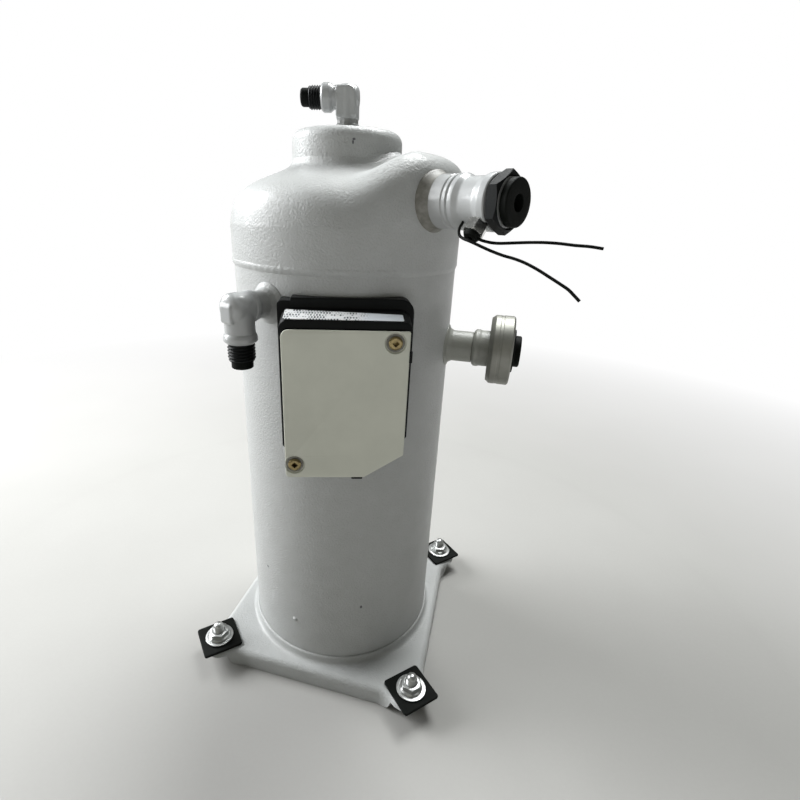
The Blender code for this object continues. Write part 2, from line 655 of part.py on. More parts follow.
def build_frame_castings():
    housing = turned("main_bearing_housing", [
        (86.1, 317), (86.1, 300), (58, 297), (26, 290), (24, 270), (13.4, 270), (13.4, 301), (28, 301),
        (28, 324.6), (43, 324.6), (43, 317)], CAST, closed=True)
    cut(housing, box("suction_passage", (66, -16, 290), (95, 16, 325)))
    for side in (1, -1):
        low, high = sorted((side * 45, side * 63))
        cut(housing, box(f"housing_slot_{side}", (low, -5.5, 311.8), (high, 5.5, 320)))
    turned("muffler_plate", [(87.4, 390.5), (87.4, 386.5), (34, 391), (29, 391), (29, 395), (36, 395)],
           STEEL, closed=True)
    bearing = ring("lower_bearing", 18, 10.4, 56, 76, CAST)
    for arm in range(3):
        join(bearing, box(f"bearing_arm_{arm}", (14, -8, 60), (85.4, 8, 66), frame=turn_z(90 + 120 * arm)))
    piston = turned("unloading_piston", [
        (0, 456), (35.5, 456), (37.2, 454.5), (37.2, 447), (13, 447), (13, 384.5), (9.5, 384.5),
        (9.5, 445), (0, 445)], STEEL)
    for side in range(2):
        window = port_frame((90 * side, 400))
        cut(piston, rod(f"gas_window_{side}", 5, -20, 20, frame=window, steps=BORE_SEGMENTS))


# ---------------------------------------------------------------- motor and shaft

def half_ring(outer, inner, start):
    outer_arc = [math.radians(start + 180 * i / 14) for i in range(15)]
    points = [(outer * math.cos(a), outer * math.sin(a)) for a in outer_arc]
    return points + [(inner * math.cos(a), inner * math.sin(a)) for a in reversed(outer_arc)]


def build_motor():
    shaft = turned("crankshaft", [
        (0, 302.5), (SHAFT_R, 302.5), (SHAFT_R, 78), (10, 78), (10, 36), (5, 32), (3, 32), (3, 70), (0, 70)],
        STEEL, steps=PORT_SEGMENTS)
    pin = Matrix.Translation((ORBIT, 0, 0))
    join(shaft, rod("crank_pin", PIN_R, 300, 322.5, frame=pin, steps=SMALL_SEGMENTS))
    ring("drive_bushing", 14.2, PIN_R + 0.4, 303.5, 322.5, BRASS, pin, PORT_SEGMENTS)
    turned("rotor", [
        (42, 238), (42, 230), (45, 230), (45, 130), (42, 130), (42, 122), (SHAFT_R + 0.35, 122),
        (SHAFT_R + 0.35, 238)], STEEL, closed=True, steps=PORT_SEGMENTS)
    prism("upper_counterweight", half_ring(38, SHAFT_R + 0.35, 90), 240, 264, STEEL)
    prism("lower_counterweight", half_ring(36, SHAFT_R + 0.35, -90), 98, 120, STEEL)
    core = ring("stator_core", 86.1, 46, 130, 230, CAST)
    winding = ring("stator_winding", 77, 50, 103, 129.6, COPPER)
    join(winding, ring("upper_end_turns", 77, 50, 230.4, 255, steps=SEGMENTS))
    for slot in range(12):
        frame = turn_z(30 * slot)
        cut(core, box(f"stator_slot_{slot}", (51, -5, 120), (75, 5, 240), frame=frame))
        join(winding, box(f"slot_bar_{slot}", (52, -4.5, 125), (74, 4.5, 235), frame=frame))


build_shell()
build_base()
build_feet()
build_discharge()
build_suction()
build_unloading_elbow()
build_injection()
build_sensor()
build_terminal_box()
build_scrolls()
build_frame_castings()
build_motor()
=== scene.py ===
"""Looks of the scroll compressor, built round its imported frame.

Lengths are in millimetres here and the helpers turn them into metres. Heights are measured from
the standing plane and distances from the shell axis, as in the part itself.
"""

import json
import math

import bmesh
import bpy
from mathutils import Matrix, Vector, noise


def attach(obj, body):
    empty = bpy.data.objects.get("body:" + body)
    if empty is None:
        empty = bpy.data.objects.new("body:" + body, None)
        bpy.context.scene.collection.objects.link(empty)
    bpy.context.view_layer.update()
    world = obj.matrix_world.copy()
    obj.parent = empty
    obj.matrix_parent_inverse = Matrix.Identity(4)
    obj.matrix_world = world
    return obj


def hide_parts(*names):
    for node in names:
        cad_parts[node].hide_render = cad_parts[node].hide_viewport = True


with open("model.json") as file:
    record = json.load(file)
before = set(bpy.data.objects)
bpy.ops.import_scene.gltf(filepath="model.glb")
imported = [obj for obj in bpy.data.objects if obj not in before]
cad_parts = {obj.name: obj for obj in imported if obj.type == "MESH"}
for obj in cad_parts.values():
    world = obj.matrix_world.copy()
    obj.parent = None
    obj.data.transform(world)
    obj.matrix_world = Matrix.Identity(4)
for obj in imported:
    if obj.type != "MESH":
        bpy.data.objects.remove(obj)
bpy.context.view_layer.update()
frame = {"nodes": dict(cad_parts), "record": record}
BODY_OF = {node: body for body, nodes in frame["record"]["behaviour"]["bodies"].items() for node in nodes}
MM = 0.001

# Shell
SHELL_R = 90.25
SHELL_IN = 86.75
SHELL_FOOT = 24.0
SEAM_Z = 374.0
SEAM_TALLEST = 195.0
CAP_R = 91.3
CAP_IN = 88.0
CAP_MOUTH = 42.2
HAT_R = 42.1
HAT_TOP = 468.0

# Base plate and feet
BOLT_U = 190.5 / math.sqrt(2)
PLATE_TOP = 18.0
PLATE_ROUND = 5.5
SHEET = 2.5
PLATE_SIDE = 102.5
LEG_HALF = 20.0
LEG_FILLET = 20.0
LEG_END = BOLT_U + 15.0
LEG_END_ROUND = 16.0
SKIRT_START = 124.0
SKIRT_END = 132.0
COLLAR_R = 96.6
PAD_HALF = 17.75
CORNERS = {"back_right": 45, "back_left": 135, "front_left": 225, "front_right": 315}

# Ports: direction round the shell in degrees from +X, and height
DISCHARGE = (-31.0, 419.7)
SUCTION = (0.0, 310.0)
INJECTION = (-110.1, 350.0)
INJECTION_LEG = 116.0
UNLOAD_ARM = (190.0, 490.0)
BOX_TURN = 18.0

# Sensor leads
LEAD_R = 0.9
LEAD_FRONT = [
    (107.1, -83.2, 400.1), (109.6, -84.2, 399.3), (112.0, -85.1, 398.4), (114.8, -85.7, 397.8),
    (118.3, -85.9, 397.3), (123.0, -85.8, 397.2), (131.4, -85.3, 397.8), (139.8, -84.9, 398.4),
    (148.1, -84.6, 398.7), (156.3, -84.5, 398.5), (164.5, -84.6, 397.9), (172.6, -84.7, 397.6),
    (179.8, -84.9, 396.8)]
LEAD_LOW = [
    (99.5, -70.3, 409.2), (98.4, -72.1, 406.8), (97.6, -74.4, 404.8), (97.6, -78.2, 402.6),
    (98.8, -82.6, 400.3), (101.5, -86.4, 398.9), (104.7, -88.8, 398.0), (108.5, -90.1, 396.7),
    (113.0, -91.0, 395.0), (119.0, -92.3, 392.9), (125.5, -93.6, 391.0), (132.4, -94.8, 389.5),
    (138.8, -96.2, 387.5), (145.7, -98.0, 384.5), (152.5, -100.1, 381.0), (158.2, -101.9, 378.0),
    (162.7, -103.4, 375.5), (166.1, -104.8, 372.7), (169.3, -106.3, 369.9)]


# ---------------------------------------------------------------- camera, light and floor

CAMERA_AT = Vector((124.42, -387.79, 413.05)) * MM
CAMERA_HEADING = 14.59
CAMERA_PITCH = 21.87
CAMERA_ROLL = 1.85
CAMERA_LENS = 21.09
CAMERA_SHIFT = (0.0389, -0.0019)


# Lights: azimuth from +X and elevation in degrees, distance and width in metres, power and colour
LIGHT_TARGET = Vector((0, 0, 0.25))
DAYLIGHT = (0.97, 0.985, 1.0)
LIGHTS = {
    "window": (174, 33, 1.8, 1.0, 42, DAYLIGHT),
    "left_panel": (190, 18, 1.8, 1.0, 23, DAYLIGHT),
    "overhead": (75, 64, 1.8, 1.0, 42, (0.98, 1.0, 1.0)),
    "front_fill": (-95, 25, 2.2, 1.6, 2.0, (1.0, 0.98, 0.78))}

# Surroundings: how brightly they light the object, and their colour low down and high up
WORLD_STRENGTH = 0.15
WORLD_LOW = (0.42, (0.58, 0.55, 0.38, 1))
WORLD_HIGH = (0.75, (0.93, 0.95, 0.93, 1))

FLOOR_DROP = 0.0005
FLOOR_HALF = 6


def build_camera():
    heading, pitch, roll = (math.radians(a) for a in (CAMERA_HEADING, CAMERA_PITCH, CAMERA_ROLL))
    level = math.cos(pitch)
    ahead = Vector((-math.sin(heading) * level, math.cos(heading) * level, -math.sin(pitch)))
    right = Vector((math.cos(heading), math.sin(heading), 0))
    up = right.cross(ahead)
    across = right * math.cos(roll) + up * math.sin(roll)
    upward = up * math.cos(roll) - right * math.sin(roll)
    data = bpy.data.cameras.new("camera")
    data.sensor_width = 36
    data.lens = CAMERA_LENS
    data.shift_x, data.shift_y = CAMERA_SHIFT
    data.clip_start = 0.01
    camera = bpy.data.objects.new("camera", data)
    bpy.context.scene.collection.objects.link(camera)
    turn = Matrix((across, upward, -ahead)).transposed().to_4x4()
    camera.matrix_world = Matrix.Translation(CAMERA_AT) @ turn
    bpy.context.scene.camera = camera


def area_light(name, azimuth, elevation, distance, size, power, color):
    """A disc of light that faces the middle of the object from a direction round it."""
    data = bpy.data.lights.new(name, "AREA")
    data.shape = "DISK"
    data.size = size
    data.energy = power
    data.color = color
    light = bpy.data.objects.new(name, data)
    bpy.context.scene.collection.objects.link(light)
    a, e = math.radians(azimuth), math.radians(elevation)
    back = Vector((math.cos(a) * math.cos(e), math.sin(a) * math.cos(e), math.sin(e)))
    light.location = LIGHT_TARGET + back * distance
    light.rotation_mode = "QUATERNION"
    light.rotation_quaternion = (-back).to_track_quat("-Z", "Y")


def build_stage():
    for name, settings in LIGHTS.items():
        area_light(name, *settings)
    build_world()
    bpy.context.scene.view_settings.view_transform = "Standard"
    build_floor()


def build_world():
    """Surroundings that look white and light the object softly, warmer from below."""
    world = bpy.data.worlds.new("studio")
    bpy.context.scene.world = world
    world.use_nodes = True
    nodes, links = world.node_tree.nodes, world.node_tree.links
    seen = nodes.new("ShaderNodeBackground")
    seen.inputs["Color"].default_value = (1, 1, 1, 1)
    seen.inputs["Strength"].default_value = 1.0
    lit = nodes["Background"]
    lit.inputs["Strength"].default_value = WORLD_STRENGTH
    where = nodes.new("ShaderNodeTexCoord")
    split = nodes.new("ShaderNodeSeparateXYZ")
    ramp = nodes.new("ShaderNodeValToRGB")
    for end, (position, color) in zip(ramp.color_ramp.elements, (WORLD_LOW, WORLD_HIGH)):
        end.position = position
        end.color = color
    half = nodes.new("ShaderNodeMapRange")
    half.inputs["From Min"].default_value = -1.0
    rays = nodes.new("ShaderNodeLightPath")
    mix = nodes.new("ShaderNodeMixShader")
    links.new(where.outputs["Generated"], split.inputs[0])
    links.new(split.outputs["Z"], half.inputs["Value"])
    links.new(half.outputs["Result"], ramp.inputs["Fac"])
    links.new(ramp.outputs["Color"], lit.inputs["Color"])
    links.new(rays.outputs["Is Camera Ray"], mix.inputs[0])
    links.new(lit.outputs[0], mix.inputs[1])
    links.new(seen.outputs[0], mix.inputs[2])
    links.new(mix.outputs[0], nodes["World Output"].inputs["Surface"])


def build_floor():
    bm = bmesh.new()
    bmesh.ops.create_grid(bm, x_segments=1, y_segments=1, size=FLOOR_HALF)
    mesh = bpy.data.meshes.new("floor")
    bm.to_mesh(mesh)
    bm.free()
    floor = bpy.data.objects.new("floor", mesh)
    bpy.context.scene.collection.objects.link(floor)
    floor.location.z = -FLOOR_DROP
    paper = make_material("floor_paper", (0.37, 0.365, 0.35), (0.35, 0.345, 0.33), 0.9, blotch=3, grain=300,
                          depth=0.02)
    fade_to_white(paper, 0.45, 1.3)
    mesh.materials.append(paper)


def fade_to_white(material, near, far):
    """Let the floor brighten into the white surroundings with distance from the object."""
    tree = material.node_tree
    nodes, links = tree.nodes, tree.links
    where = nodes.new("ShaderNodeTexCoord")
    distance = nodes.new("ShaderNodeVectorMath")
    distance.operation = "LENGTH"
    links.new(where.outputs["Object"], distance.inputs[0])
    share = range_node(tree, distance.outputs["Value"], 0.0, 1.0, near, far)
    glow = nodes.new("ShaderNodeEmission")
    mix = nodes.new("ShaderNodeMixShader")
    links.new(share, mix.inputs[0])
    links.new(nodes["Principled BSDF"].outputs[0], mix.inputs[1])
    links.new(glow.outputs[0], mix.inputs[2])
    links.new(mix.outputs[0], nodes["Material Output"].inputs["Surface"])


# ---------------------------------------------------------------- materials

def new_material(name):
    material = bpy.data.materials.new(name)
    material.use_nodes = True
    tree = material.node_tree
    return material, tree, tree.nodes["Principled BSDF"]


def noise_node(tree, source, scale, detail=4.0):
    node = tree.nodes.new("ShaderNodeTexNoise")
    node.inputs["Scale"].default_value = scale
    node.inputs["Detail"].default_value = detail
    node.inputs["Roughness"].default_value = 0.55
    tree.links.new(source, node.inputs["Vector"])
    return node.outputs["Fac"]


def ramp_node(tree, source, low, high, color_low, color_high):
    node = tree.nodes.new("ShaderNodeValToRGB")
    ends = node.color_ramp.elements
    ends[0].position, ends[1].position = low, high
    ends[0].color = (*color_low, 1)
    ends[1].color = (*color_high, 1)
    tree.links.new(source, node.inputs["Fac"])
    return node.outputs["Color"]


def range_node(tree, source, low, high, from_low=0.3, from_high=0.7):
    node = tree.nodes.new("ShaderNodeMapRange")
    node.inputs["From Min"].default_value = from_low
    node.inputs["From Max"].default_value = from_high
    node.inputs["To Min"].default_value = low
    node.inputs["To Max"].default_value = high
    tree.links.new(source, node.inputs["Value"])
    return node.outputs["Result"]


def bump_node(tree, source, distance, onto=None):
    node = tree.nodes.new("ShaderNodeBump")
    node.inputs["Distance"].default_value = distance * MM
    node.inputs["Strength"].default_value = 1.0
    tree.links.new(source, node.inputs["Height"])
    if onto:
        tree.links.new(onto, node.inputs["Normal"])
    return node.outputs["Normal"]


def make_material(name, color, shade, roughness, metallic=0.0, blotch=40, grain=700, depth=0.1,
                  wave=0.0, coat=0.0, swing=0.08, fine=3.0, specular=0.5):
    """A finish that drifts between two colours, with grain in its surface and uneven gloss."""
    material, tree, shader = new_material(name)
    where = tree.nodes.new("ShaderNodeTexCoord").outputs["Object"]
    drift = noise_node(tree, where, blotch)
    grains = noise_node(tree, where, grain, fine)
    tree.links.new(ramp_node(tree, drift, 0.35, 0.65, shade, color), shader.inputs["Base Color"])
    gloss = range_node(tree, grains, roughness - swing, roughness + swing)
    tree.links.new(gloss, shader.inputs["Roughness"])
    normal = bump_node(tree, grains, depth)
    if wave:
        normal = bump_node(tree, noise_node(tree, where, 45, 2.0), wave, onto=normal)
    tree.links.new(normal, shader.inputs["Normal"])
    shader.inputs["Metallic"].default_value = metallic
    shader.inputs["Coat Weight"].default_value = coat
    shader.inputs["Specular IOR Level"].default_value = specular
    return material


# Rating label: its colours, and the size of its printed dashes in metres
LABEL_WHITE = (0.85, 0.86, 0.86, 1)
LABEL_BLUE = (0.74, 0.79, 0.83, 1)
LABEL_INK = ((0.02, 0.03, 0.04, 1), (0.20, 0.22, 0.24, 1))
DASH_WIDTH = 0.0019
DASH_ROW = 0.0034
DASH_GAP = 0.00045


def make_label(name):
    """White film with rows of short dashes on the left and a pale blue band on the right."""
    material, tree, shader = new_material(name)
    nodes, links = tree.nodes, tree.links
    where = nodes.new("ShaderNodeTexCoord").outputs["Object"]
    along = nodes.new("ShaderNodeVectorRotate")
    along.rotation_type = "Z_AXIS"
    along.inputs["Angle"].default_value = -math.radians(BOX_TURN)
    links.new(where, along.inputs["Vector"])
    dashes = nodes.new("ShaderNodeTexBrick")
    dashes.offset = 0.37
    dashes.inputs["Scale"].default_value = 1.0
    dashes.inputs["Brick Width"].default_value = DASH_WIDTH
    dashes.inputs["Row Height"].default_value = DASH_ROW
    dashes.inputs["Mortar Size"].default_value = DASH_GAP
    dashes.inputs["Mortar Smooth"].default_value = 0.3
    dashes.inputs["Color1"].default_value, dashes.inputs["Color2"].default_value = LABEL_INK
    dashes.inputs["Mortar"].default_value = LABEL_WHITE
    links.new(along.outputs[0], dashes.inputs["Vector"])
    split = nodes.new("ShaderNodeSeparateXYZ")
    links.new(along.outputs[0], split.inputs[0])
    gaps = range_node(tree, noise_node(tree, along.outputs[0], 170, 2.0), 0.0, 1.0, 0.40, 0.47)
    side = range_node(tree, split.outputs["X"], 1.0, 0.0, 0.004, 0.016)
    printed = nodes.new("ShaderNodeMath")
    printed.operation = "MULTIPLY"
    links.new(gaps, printed.inputs[0])
    links.new(side, printed.inputs[1])
    band = range_node(tree, split.outputs["X"], 0.0, 1.0, 0.006, 0.014)
    tinted = nodes.new("ShaderNodeMix")
    tinted.data_type = "RGBA"
    tinted.inputs["A"].default_value = LABEL_WHITE
    tinted.inputs["B"].default_value = LABEL_BLUE
    links.new(band, tinted.inputs["Factor"])
    both = nodes.new("ShaderNodeMix")
    both.data_type = "RGBA"
    links.new(printed.outputs[0], both.inputs["Factor"])
    links.new(tinted.outputs["Result"], both.inputs["A"])
    links.new(dashes.outputs["Color"], both.inputs["B"])
    links.new(both.outputs["Result"], shader.inputs["Base Color"])
    links.new(range_node(tree, noise_node(tree, where, 300), 0.30, 0.42), shader.inputs["Roughness"])
    links.new(bump_node(tree, noise_node(tree, where, 220), 0.05), shader.inputs["Normal"])
    return material


def make_winding(name):
    """Enamelled copper wire, laid in fine turns."""
    material, tree, shader = new_material(name)
    nodes, links = tree.nodes, tree.links
    where = nodes.new("ShaderNodeTexCoord").outputs["Object"]
    wires = nodes.new("ShaderNodeTexWave")
    wires.bands_direction = "Z"
    wires.inputs["Scale"].default_value = 160
    wires.inputs["Distortion"].default_value = 2.0
    links.new(where, wires.inputs["Vector"])
    color = ramp_node(tree, wires.outputs["Fac"], 0.2, 0.8, (0.26, 0.10, 0.04), (0.62, 0.28, 0.13))
    links.new(color, shader.inputs["Base Color"])
    links.new(range_node(tree, wires.outputs["Fac"], 0.45, 0.28), shader.inputs["Roughness"])
    links.new(bump_node(tree, wires.outputs["Fac"], 0.3), shader.inputs["Normal"])
    shader.inputs["Metallic"].default_value = 0.85
    return material


# Finishes: name, colour, shade, roughness and, for metals, how metallic
FINISH = {
    "paint": make_material("sprayed_paint", (0.425, 0.435, 0.430), (0.405, 0.414, 0.407), 0.48,
                           blotch=60, grain=640, depth=0.58, wave=0.22, coat=0.10),
    "port_paint": make_material("glossy_paint", (0.40, 0.41, 0.41), (0.375, 0.385, 0.385), 0.34,
                                blotch=60, grain=500, depth=0.06, coat=0.3, swing=0.04),
    # Darker, more olive paint for the suction stub and its adapter: painted shade for the shaded right
    # side, not wear.
    "port_paint_with_painted_shade": make_material("port_paint_with_painted_shade", (0.31, 0.315, 0.285), (0.27, 0.275, 0.25), 0.46,
                                blotch=60, grain=700, depth=0.30, coat=0.1),
    "dark_paint": make_material("dull_paint", (0.30, 0.305, 0.30), (0.22, 0.225, 0.22), 0.40,
                                blotch=200, grain=600, depth=0.15, coat=0.2),
    "steel": make_material("machined_steel", (0.42, 0.43, 0.42), (0.33, 0.34, 0.33), 0.34, 0.9,
                           blotch=120, grain=900, depth=0.03),
    "dull_steel": make_material("blackened_steel", (0.31, 0.31, 0.28), (0.25, 0.25, 0.225), 0.50, 0.7,
                                blotch=60, grain=900, depth=0.01, swing=0.03),
    "zinc": make_material("zinc_plate", (0.56, 0.57, 0.56), (0.47, 0.48, 0.47), 0.35, 1.0,
                          blotch=120, grain=700, depth=0.012, swing=0.04),
    "nickel": make_material("bright_nickel", (0.58, 0.58, 0.56), (0.46, 0.46, 0.44), 0.25, 1.0,
                            blotch=200, grain=500, depth=0.02, swing=0.04),
    "cast": make_material("cast_iron", (0.16, 0.16, 0.17), (0.10, 0.10, 0.11), 0.55, 0.7,
                          blotch=80, grain=500, depth=0.25),
    "plastic": make_material("black_plastic", (0.005, 0.006, 0.006), (0.003, 0.004, 0.004), 0.50,
                             blotch=90, grain=1500, depth=0.03, specular=0.14),
    "rubber": make_material("black_rubber", (0.004, 0.005, 0.004), (0.002, 0.003, 0.002), 0.62,
                            blotch=120, grain=1100, depth=0.05, specular=0.10),
    "cover": make_material("cover_plastic", (0.62, 0.63, 0.545), (0.58, 0.59, 0.51), 0.46,
                           blotch=35, grain=1600, depth=0.05),
    "label": make_label("label_film"),
    "brass": make_material("yellow_plate", (0.34, 0.27, 0.13), (0.22, 0.17, 0.09), 0.32, 1.0,
                           blotch=300, grain=900, depth=0.04),
    "copper": make_winding("copper_winding"),
    # Dark weld colour: partly the weld's own and partly painted shade, round the discharge tube's foot and
    # in the cover's screw dishes.
    "weld": make_material("weld_with_painted_shade", (0.24, 0.235, 0.21), (0.16, 0.155, 0.135), 0.50,
                          blotch=260, grain=900, depth=0.15),
}


# ---------------------------------------------------------------- mesh helpers

MERGE = 0.003


def to_object(name, bm, at=Matrix(), sharp=30.0):
    """A smooth-shaded object from a mesh built in millimetres in the frame at."""
    bmesh.ops.remove_doubles(bm, verts=bm.verts, dist=MERGE)
    bmesh.ops.recalc_face_normals(bm, faces=bm.faces)
    bm.transform(Matrix.Scale(MM, 4) @ at)
    mesh = bpy.data.meshes.new(name)
    bm.to_mesh(mesh)
    bm.free()
    mesh.shade_smooth()
    mesh.set_sharp_from_angle(angle=math.radians(sharp))
    item = bpy.data.objects.new(name, mesh)
    bpy.context.scene.collection.objects.link(item)
    return item


def stitch(bm, rows, along):
    """Faces between neighbouring rows of points, the last row joined to the first."""
    grid = [[bm.verts.new(point) for point in row] for row in rows]
    count = len(grid[0])
    for here, there in zip(grid, grid[1:] + grid[:1]):
        for i in range(count if along else count - 1):
            j = (i + 1) % count
            bm.faces.new((here[i], there[i], there[j], here[j]))


def spun(name, section, at=Matrix(), steps=96, closed=False, sharp=30.0):
    """A section of (radius, height) points swept round Z, the same all round or given for each angle."""
    rows = []
    for step in range(steps):
        angle = 2 * math.pi * step / steps
        points = section(angle) if callable(section) else section
        rows.append([Vector((r * math.cos(angle), r * math.sin(angle), z)) for r, z in points])
    bm = bmesh.new()
    stitch(bm, rows, closed)
    return to_object(name, bm, at, sharp)


def rounded(points, steps=6):
    """The same line with an arc in place of each corner that gives a radius as its third number."""
    result = []
    for i, point in enumerate(points):
        here = Vector(point[:2])
        if len(point) == 2:
            result.append(tuple(here))
            continue
        to_last = Vector(points[i - 1][:2]) - here
        to_next = Vector(points[(i + 1) % len(points)][:2]) - here
        half = to_last.angle(to_next) / 2
        back = min(point[2] / math.tan(half), 0.5 * to_last.length, 0.5 * to_next.length)
        start, end = here + to_last.normalized() * back, here + to_next.normalized() * back
        inward = (to_last.normalized() + to_next.normalized()).normalized()
        centre = here + inward * back / math.cos(half)
        first, last = start - centre, end - centre
        sweep = first.angle(last)
        for k in range(steps + 1):
            t = k / steps
            arm = (first * math.sin((1 - t) * sweep) + last * math.sin(t * sweep)) / math.sin(sweep)
            result.append(tuple(centre + arm))
    return result


def curved(points, fine=5):
    """A Catmull-Rom line through the points."""
    points = [Vector(p) for p in points]
    padded = [2 * points[0] - points[1]] + points + [2 * points[-1] - points[-2]]
    result = []
    for a, b, c, d in zip(padded, padded[1:], padded[2:], padded[3:]):
        for i in range(fine):
            t = i / fine
            result.append(0.5 * (2 * b + (c - a) * t + (2 * a - 5 * b + 4 * c - d) * t * t
                                 + (3 * b - a - 3 * c + d) * t ** 3))
    return result + [points[-1]]


def slab(name, outline, low, high, at=Matrix(), rounding=0.0, segments=3):
    """An outline of (x, y) points raised from low to high, with both rims rounded."""
    bm = bmesh.new()
    face = bm.faces.new([bm.verts.new((x, y, low)) for x, y in outline])
    raised = bmesh.ops.extrude_face_region(bm, geom=[face])
    moved = [v for v in raised["geom"] if isinstance(v, bmesh.types.BMVert)]
    bmesh.ops.translate(bm, verts=moved, vec=(0, 0, high - low))
    if rounding:
        rims = [e for e in bm.edges if e.verts[0].co.z == e.verts[1].co.z]
        bmesh.ops.bevel(bm, geom=rims, offset=rounding, segments=segments, profile=0.5,
                        affect="EDGES", clamp_overlap=True)
    return to_object(name, bm, at)


def apply_modifiers(item):
    evaluated = item.evaluated_get(bpy.context.evaluated_depsgraph_get())
    mesh = bpy.data.meshes.new_from_object(evaluated)
    item.modifiers.clear()
    item.data = mesh


def cut(item, *tools):
    """Take the tools' shapes out of a piece."""
    for tool in tools:
        modifier = item.modifiers.new("cut", "BOOLEAN")
        modifier.operation = "DIFFERENCE"
        modifier.object = tool
        modifier.solver = "EXACT"
    apply_modifiers(item)
    for tool in tools:
        bpy.data.objects.remove(tool)
    return item


CAST_GRID = 0.45


def blended(name, pieces, rounds=10):
    """The pieces cast into one on a fine grid, with soft corners where they meet."""
    mesh = bpy.data.meshes.new(name)
    bm = bmesh.new()
    for piece in pieces:
        bm.from_mesh(piece.data)
        bpy.data.objects.remove(piece)
    bm.to_mesh(mesh)
    bm.free()
    item = bpy.data.objects.new(name, mesh)
    bpy.context.scene.collection.objects.link(item)
    remesh = item.modifiers.new("cast", "REMESH")
    remesh.mode = "VOXEL"
    remesh.voxel_size = CAST_GRID * MM
    soften = item.modifiers.new("soften", "SMOOTH")
    soften.iterations = rounds
    apply_modifiers(item)
    item.data.shade_smooth()
    return item


def hexagon_nut(across, low, high, bore, face, flange=None):
    """The section at each angle of a nut with a corner at angle 0 and corners turned down at both ends.

    face is the radius of the round end faces; flange is (radius, thickness) of a washer at its foot.
    """
    slope = math.tan(math.radians(28))

    def section(angle):
        reach = across / 2 / math.cos(angle % (math.pi / 3) - math.pi / 6)
        drop = max(reach - face, 0) * slope
        flat = min(face, reach)
        points = [(bore, high - 0.4), (bore + 0.4, high), (flat, high), (reach, high - drop)]
        if flange:
            radius, thick = flange
            points += [(reach, low + thick + 0.5), (max(reach, radius - 0.6), low + thick),
                       (radius, low + 0.5), (radius, low)]
        else:
            points += [(reach, low + drop), (flat, low), (flat, low), (flat, low)]
        return points + [(bore, low)]

    return section


def thread(radius, depth, pitch, low, high, core=0.0):
    """The section at each angle of a helical thread between two heights."""
    count = int((high - low) / pitch * 10)

    def section(angle):
        points = []
        for i in range(count + 1):
            height = high - (high - low) * i / count
            phase = (height / pitch - angle / (2 * math.pi)) % 1
            valley = smooth(abs(2 * phase - 1) * 1.4)
            runout = smooth(min(height - low, high - height) / (0.7 * pitch))
            points.append((radius - depth * (1 - (1 - valley) * runout), height))
        return [(core, high)] + points + [(core, low)]

    return section


def smooth(value):
    value = min(max(value, 0.0), 1.0)
    return value * value * (3 - 2 * value)


def saddled(profile, shell, foot, straight):
    """A port's section at each angle, its foot bent onto the shell and its tube straight."""
    def section(angle):
        points = []
        for radius, distance in profile:
            share = smooth((straight - distance) / (straight - foot))
            side = radius * math.sin(angle)
            points.append((radius, distance - share * (shell - math.sqrt(shell ** 2 - side ** 2))))
        return points
    return section


def turn_z(degrees):
    return Matrix.Rotation(math.radians(degrees), 4, "Z")


def port_frame(port):
    """A frame on the shell axis at the port's height whose Z runs straight out through the port."""
    degrees, height = port
    return Matrix.Translation((0, 0, height)) @ turn_z(degrees) @ Matrix.Rotation(math.pi / 2, 4, "Y")


def around(port, distance):
    """The point on a port's axis at a distance from the shell axis."""
    angle = math.radians(port[0])
    return Vector((distance * math.cos(angle), distance * math.sin(angle), port[1]))


def elbow_frame(port):
    """A frame on the shell axis with X out through the port, Y up and Z across."""
    upright = Matrix(((1, 0, 0, 0), (0, 0, -1, 0), (0, 1, 0, 0), (0, 0, 0, 1)))
    return turn_z(port[0]) @ upright


def place(item, finish, *nodes, body=None, slot=None):
    """Give a piece its finish and the body of the CAD nodes that it stands for, and hide those nodes; slot
    is not used.
    """
    item.data.materials.clear()
    item.data.materials.append(FINISH[finish])
    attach(item, body or BODY_OF[nodes[0]])
    if nodes:
        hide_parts(*nodes)


# ---------------------------------------------------------------- leads

def build_lead(name, points):
    """A round lead along a smooth line through the points."""
    route = curved(points, 6)
    data = bpy.data.curves.new(name + "_cable", "CURVE")
    data.dimensions = "3D"
    data.bevel_depth = LEAD_R * MM
    data.bevel_resolution = 5
    data.use_fill_caps = True
    spline = data.splines.new("POLY")
    spline.points.add(len(route) - 1)
    for point, spot in zip(spline.points, route):
        point.co = (*(spot * MM), 1.0)
    item = bpy.data.objects.new(name + "_cable", data)
    bpy.context.scene.collection.objects.link(item)
    place(item, "rubber", name)


# ---------------------------------------------------------------- shell

# Top cap: outer and inner lines of the plain shoulder and of the pocket, which have as many points
SHOULDER = [
    (CAP_R, SEAM_Z), (CAP_R, 398), (90.9, 403), (89.6, 409), (87.6, 414.6), (84.7, 419.6), (81, 423.8),
    (76, 427.6), (69, 431.4), (60, 435.2), (52, 438.3), (46.8, 440.8), (43.8, 443.6), (CAP_MOUTH, 447.4)]
POCKET = [
    (CAP_R, SEAM_Z), (CAP_R, 404), (CAP_R, 415), (CAP_R, 424), (91.1, 431.4), (89.8, 438.4), (86.8, 443.4),
    (82.5, 447.0), (76, 450.0), (68, 451.6), (59, 452.0), (51, 451.6), (45.4, 451.4), (CAP_MOUTH, 453.4)]
SHOULDER_IN = [(CAP_MOUTH, 440.3), (62, 431), (77.5, 421), (86.5, 407), (CAP_IN, 396), (CAP_IN, SEAM_Z)]
POCKET_IN = [(CAP_MOUTH, 447.8), (62, 447.6), (76.5, 445), (85.5, 437), (CAP_IN, 424), (CAP_IN, SEAM_Z)]
# Pocket: its middle, the half width of its flat and where it ends, in degrees, near the hat and at the wall
POCKET_INSIDE = (0.0, 10.0, 58.0)
POCKET_OUTSIDE = (-12.0, 22.0, 64.0)


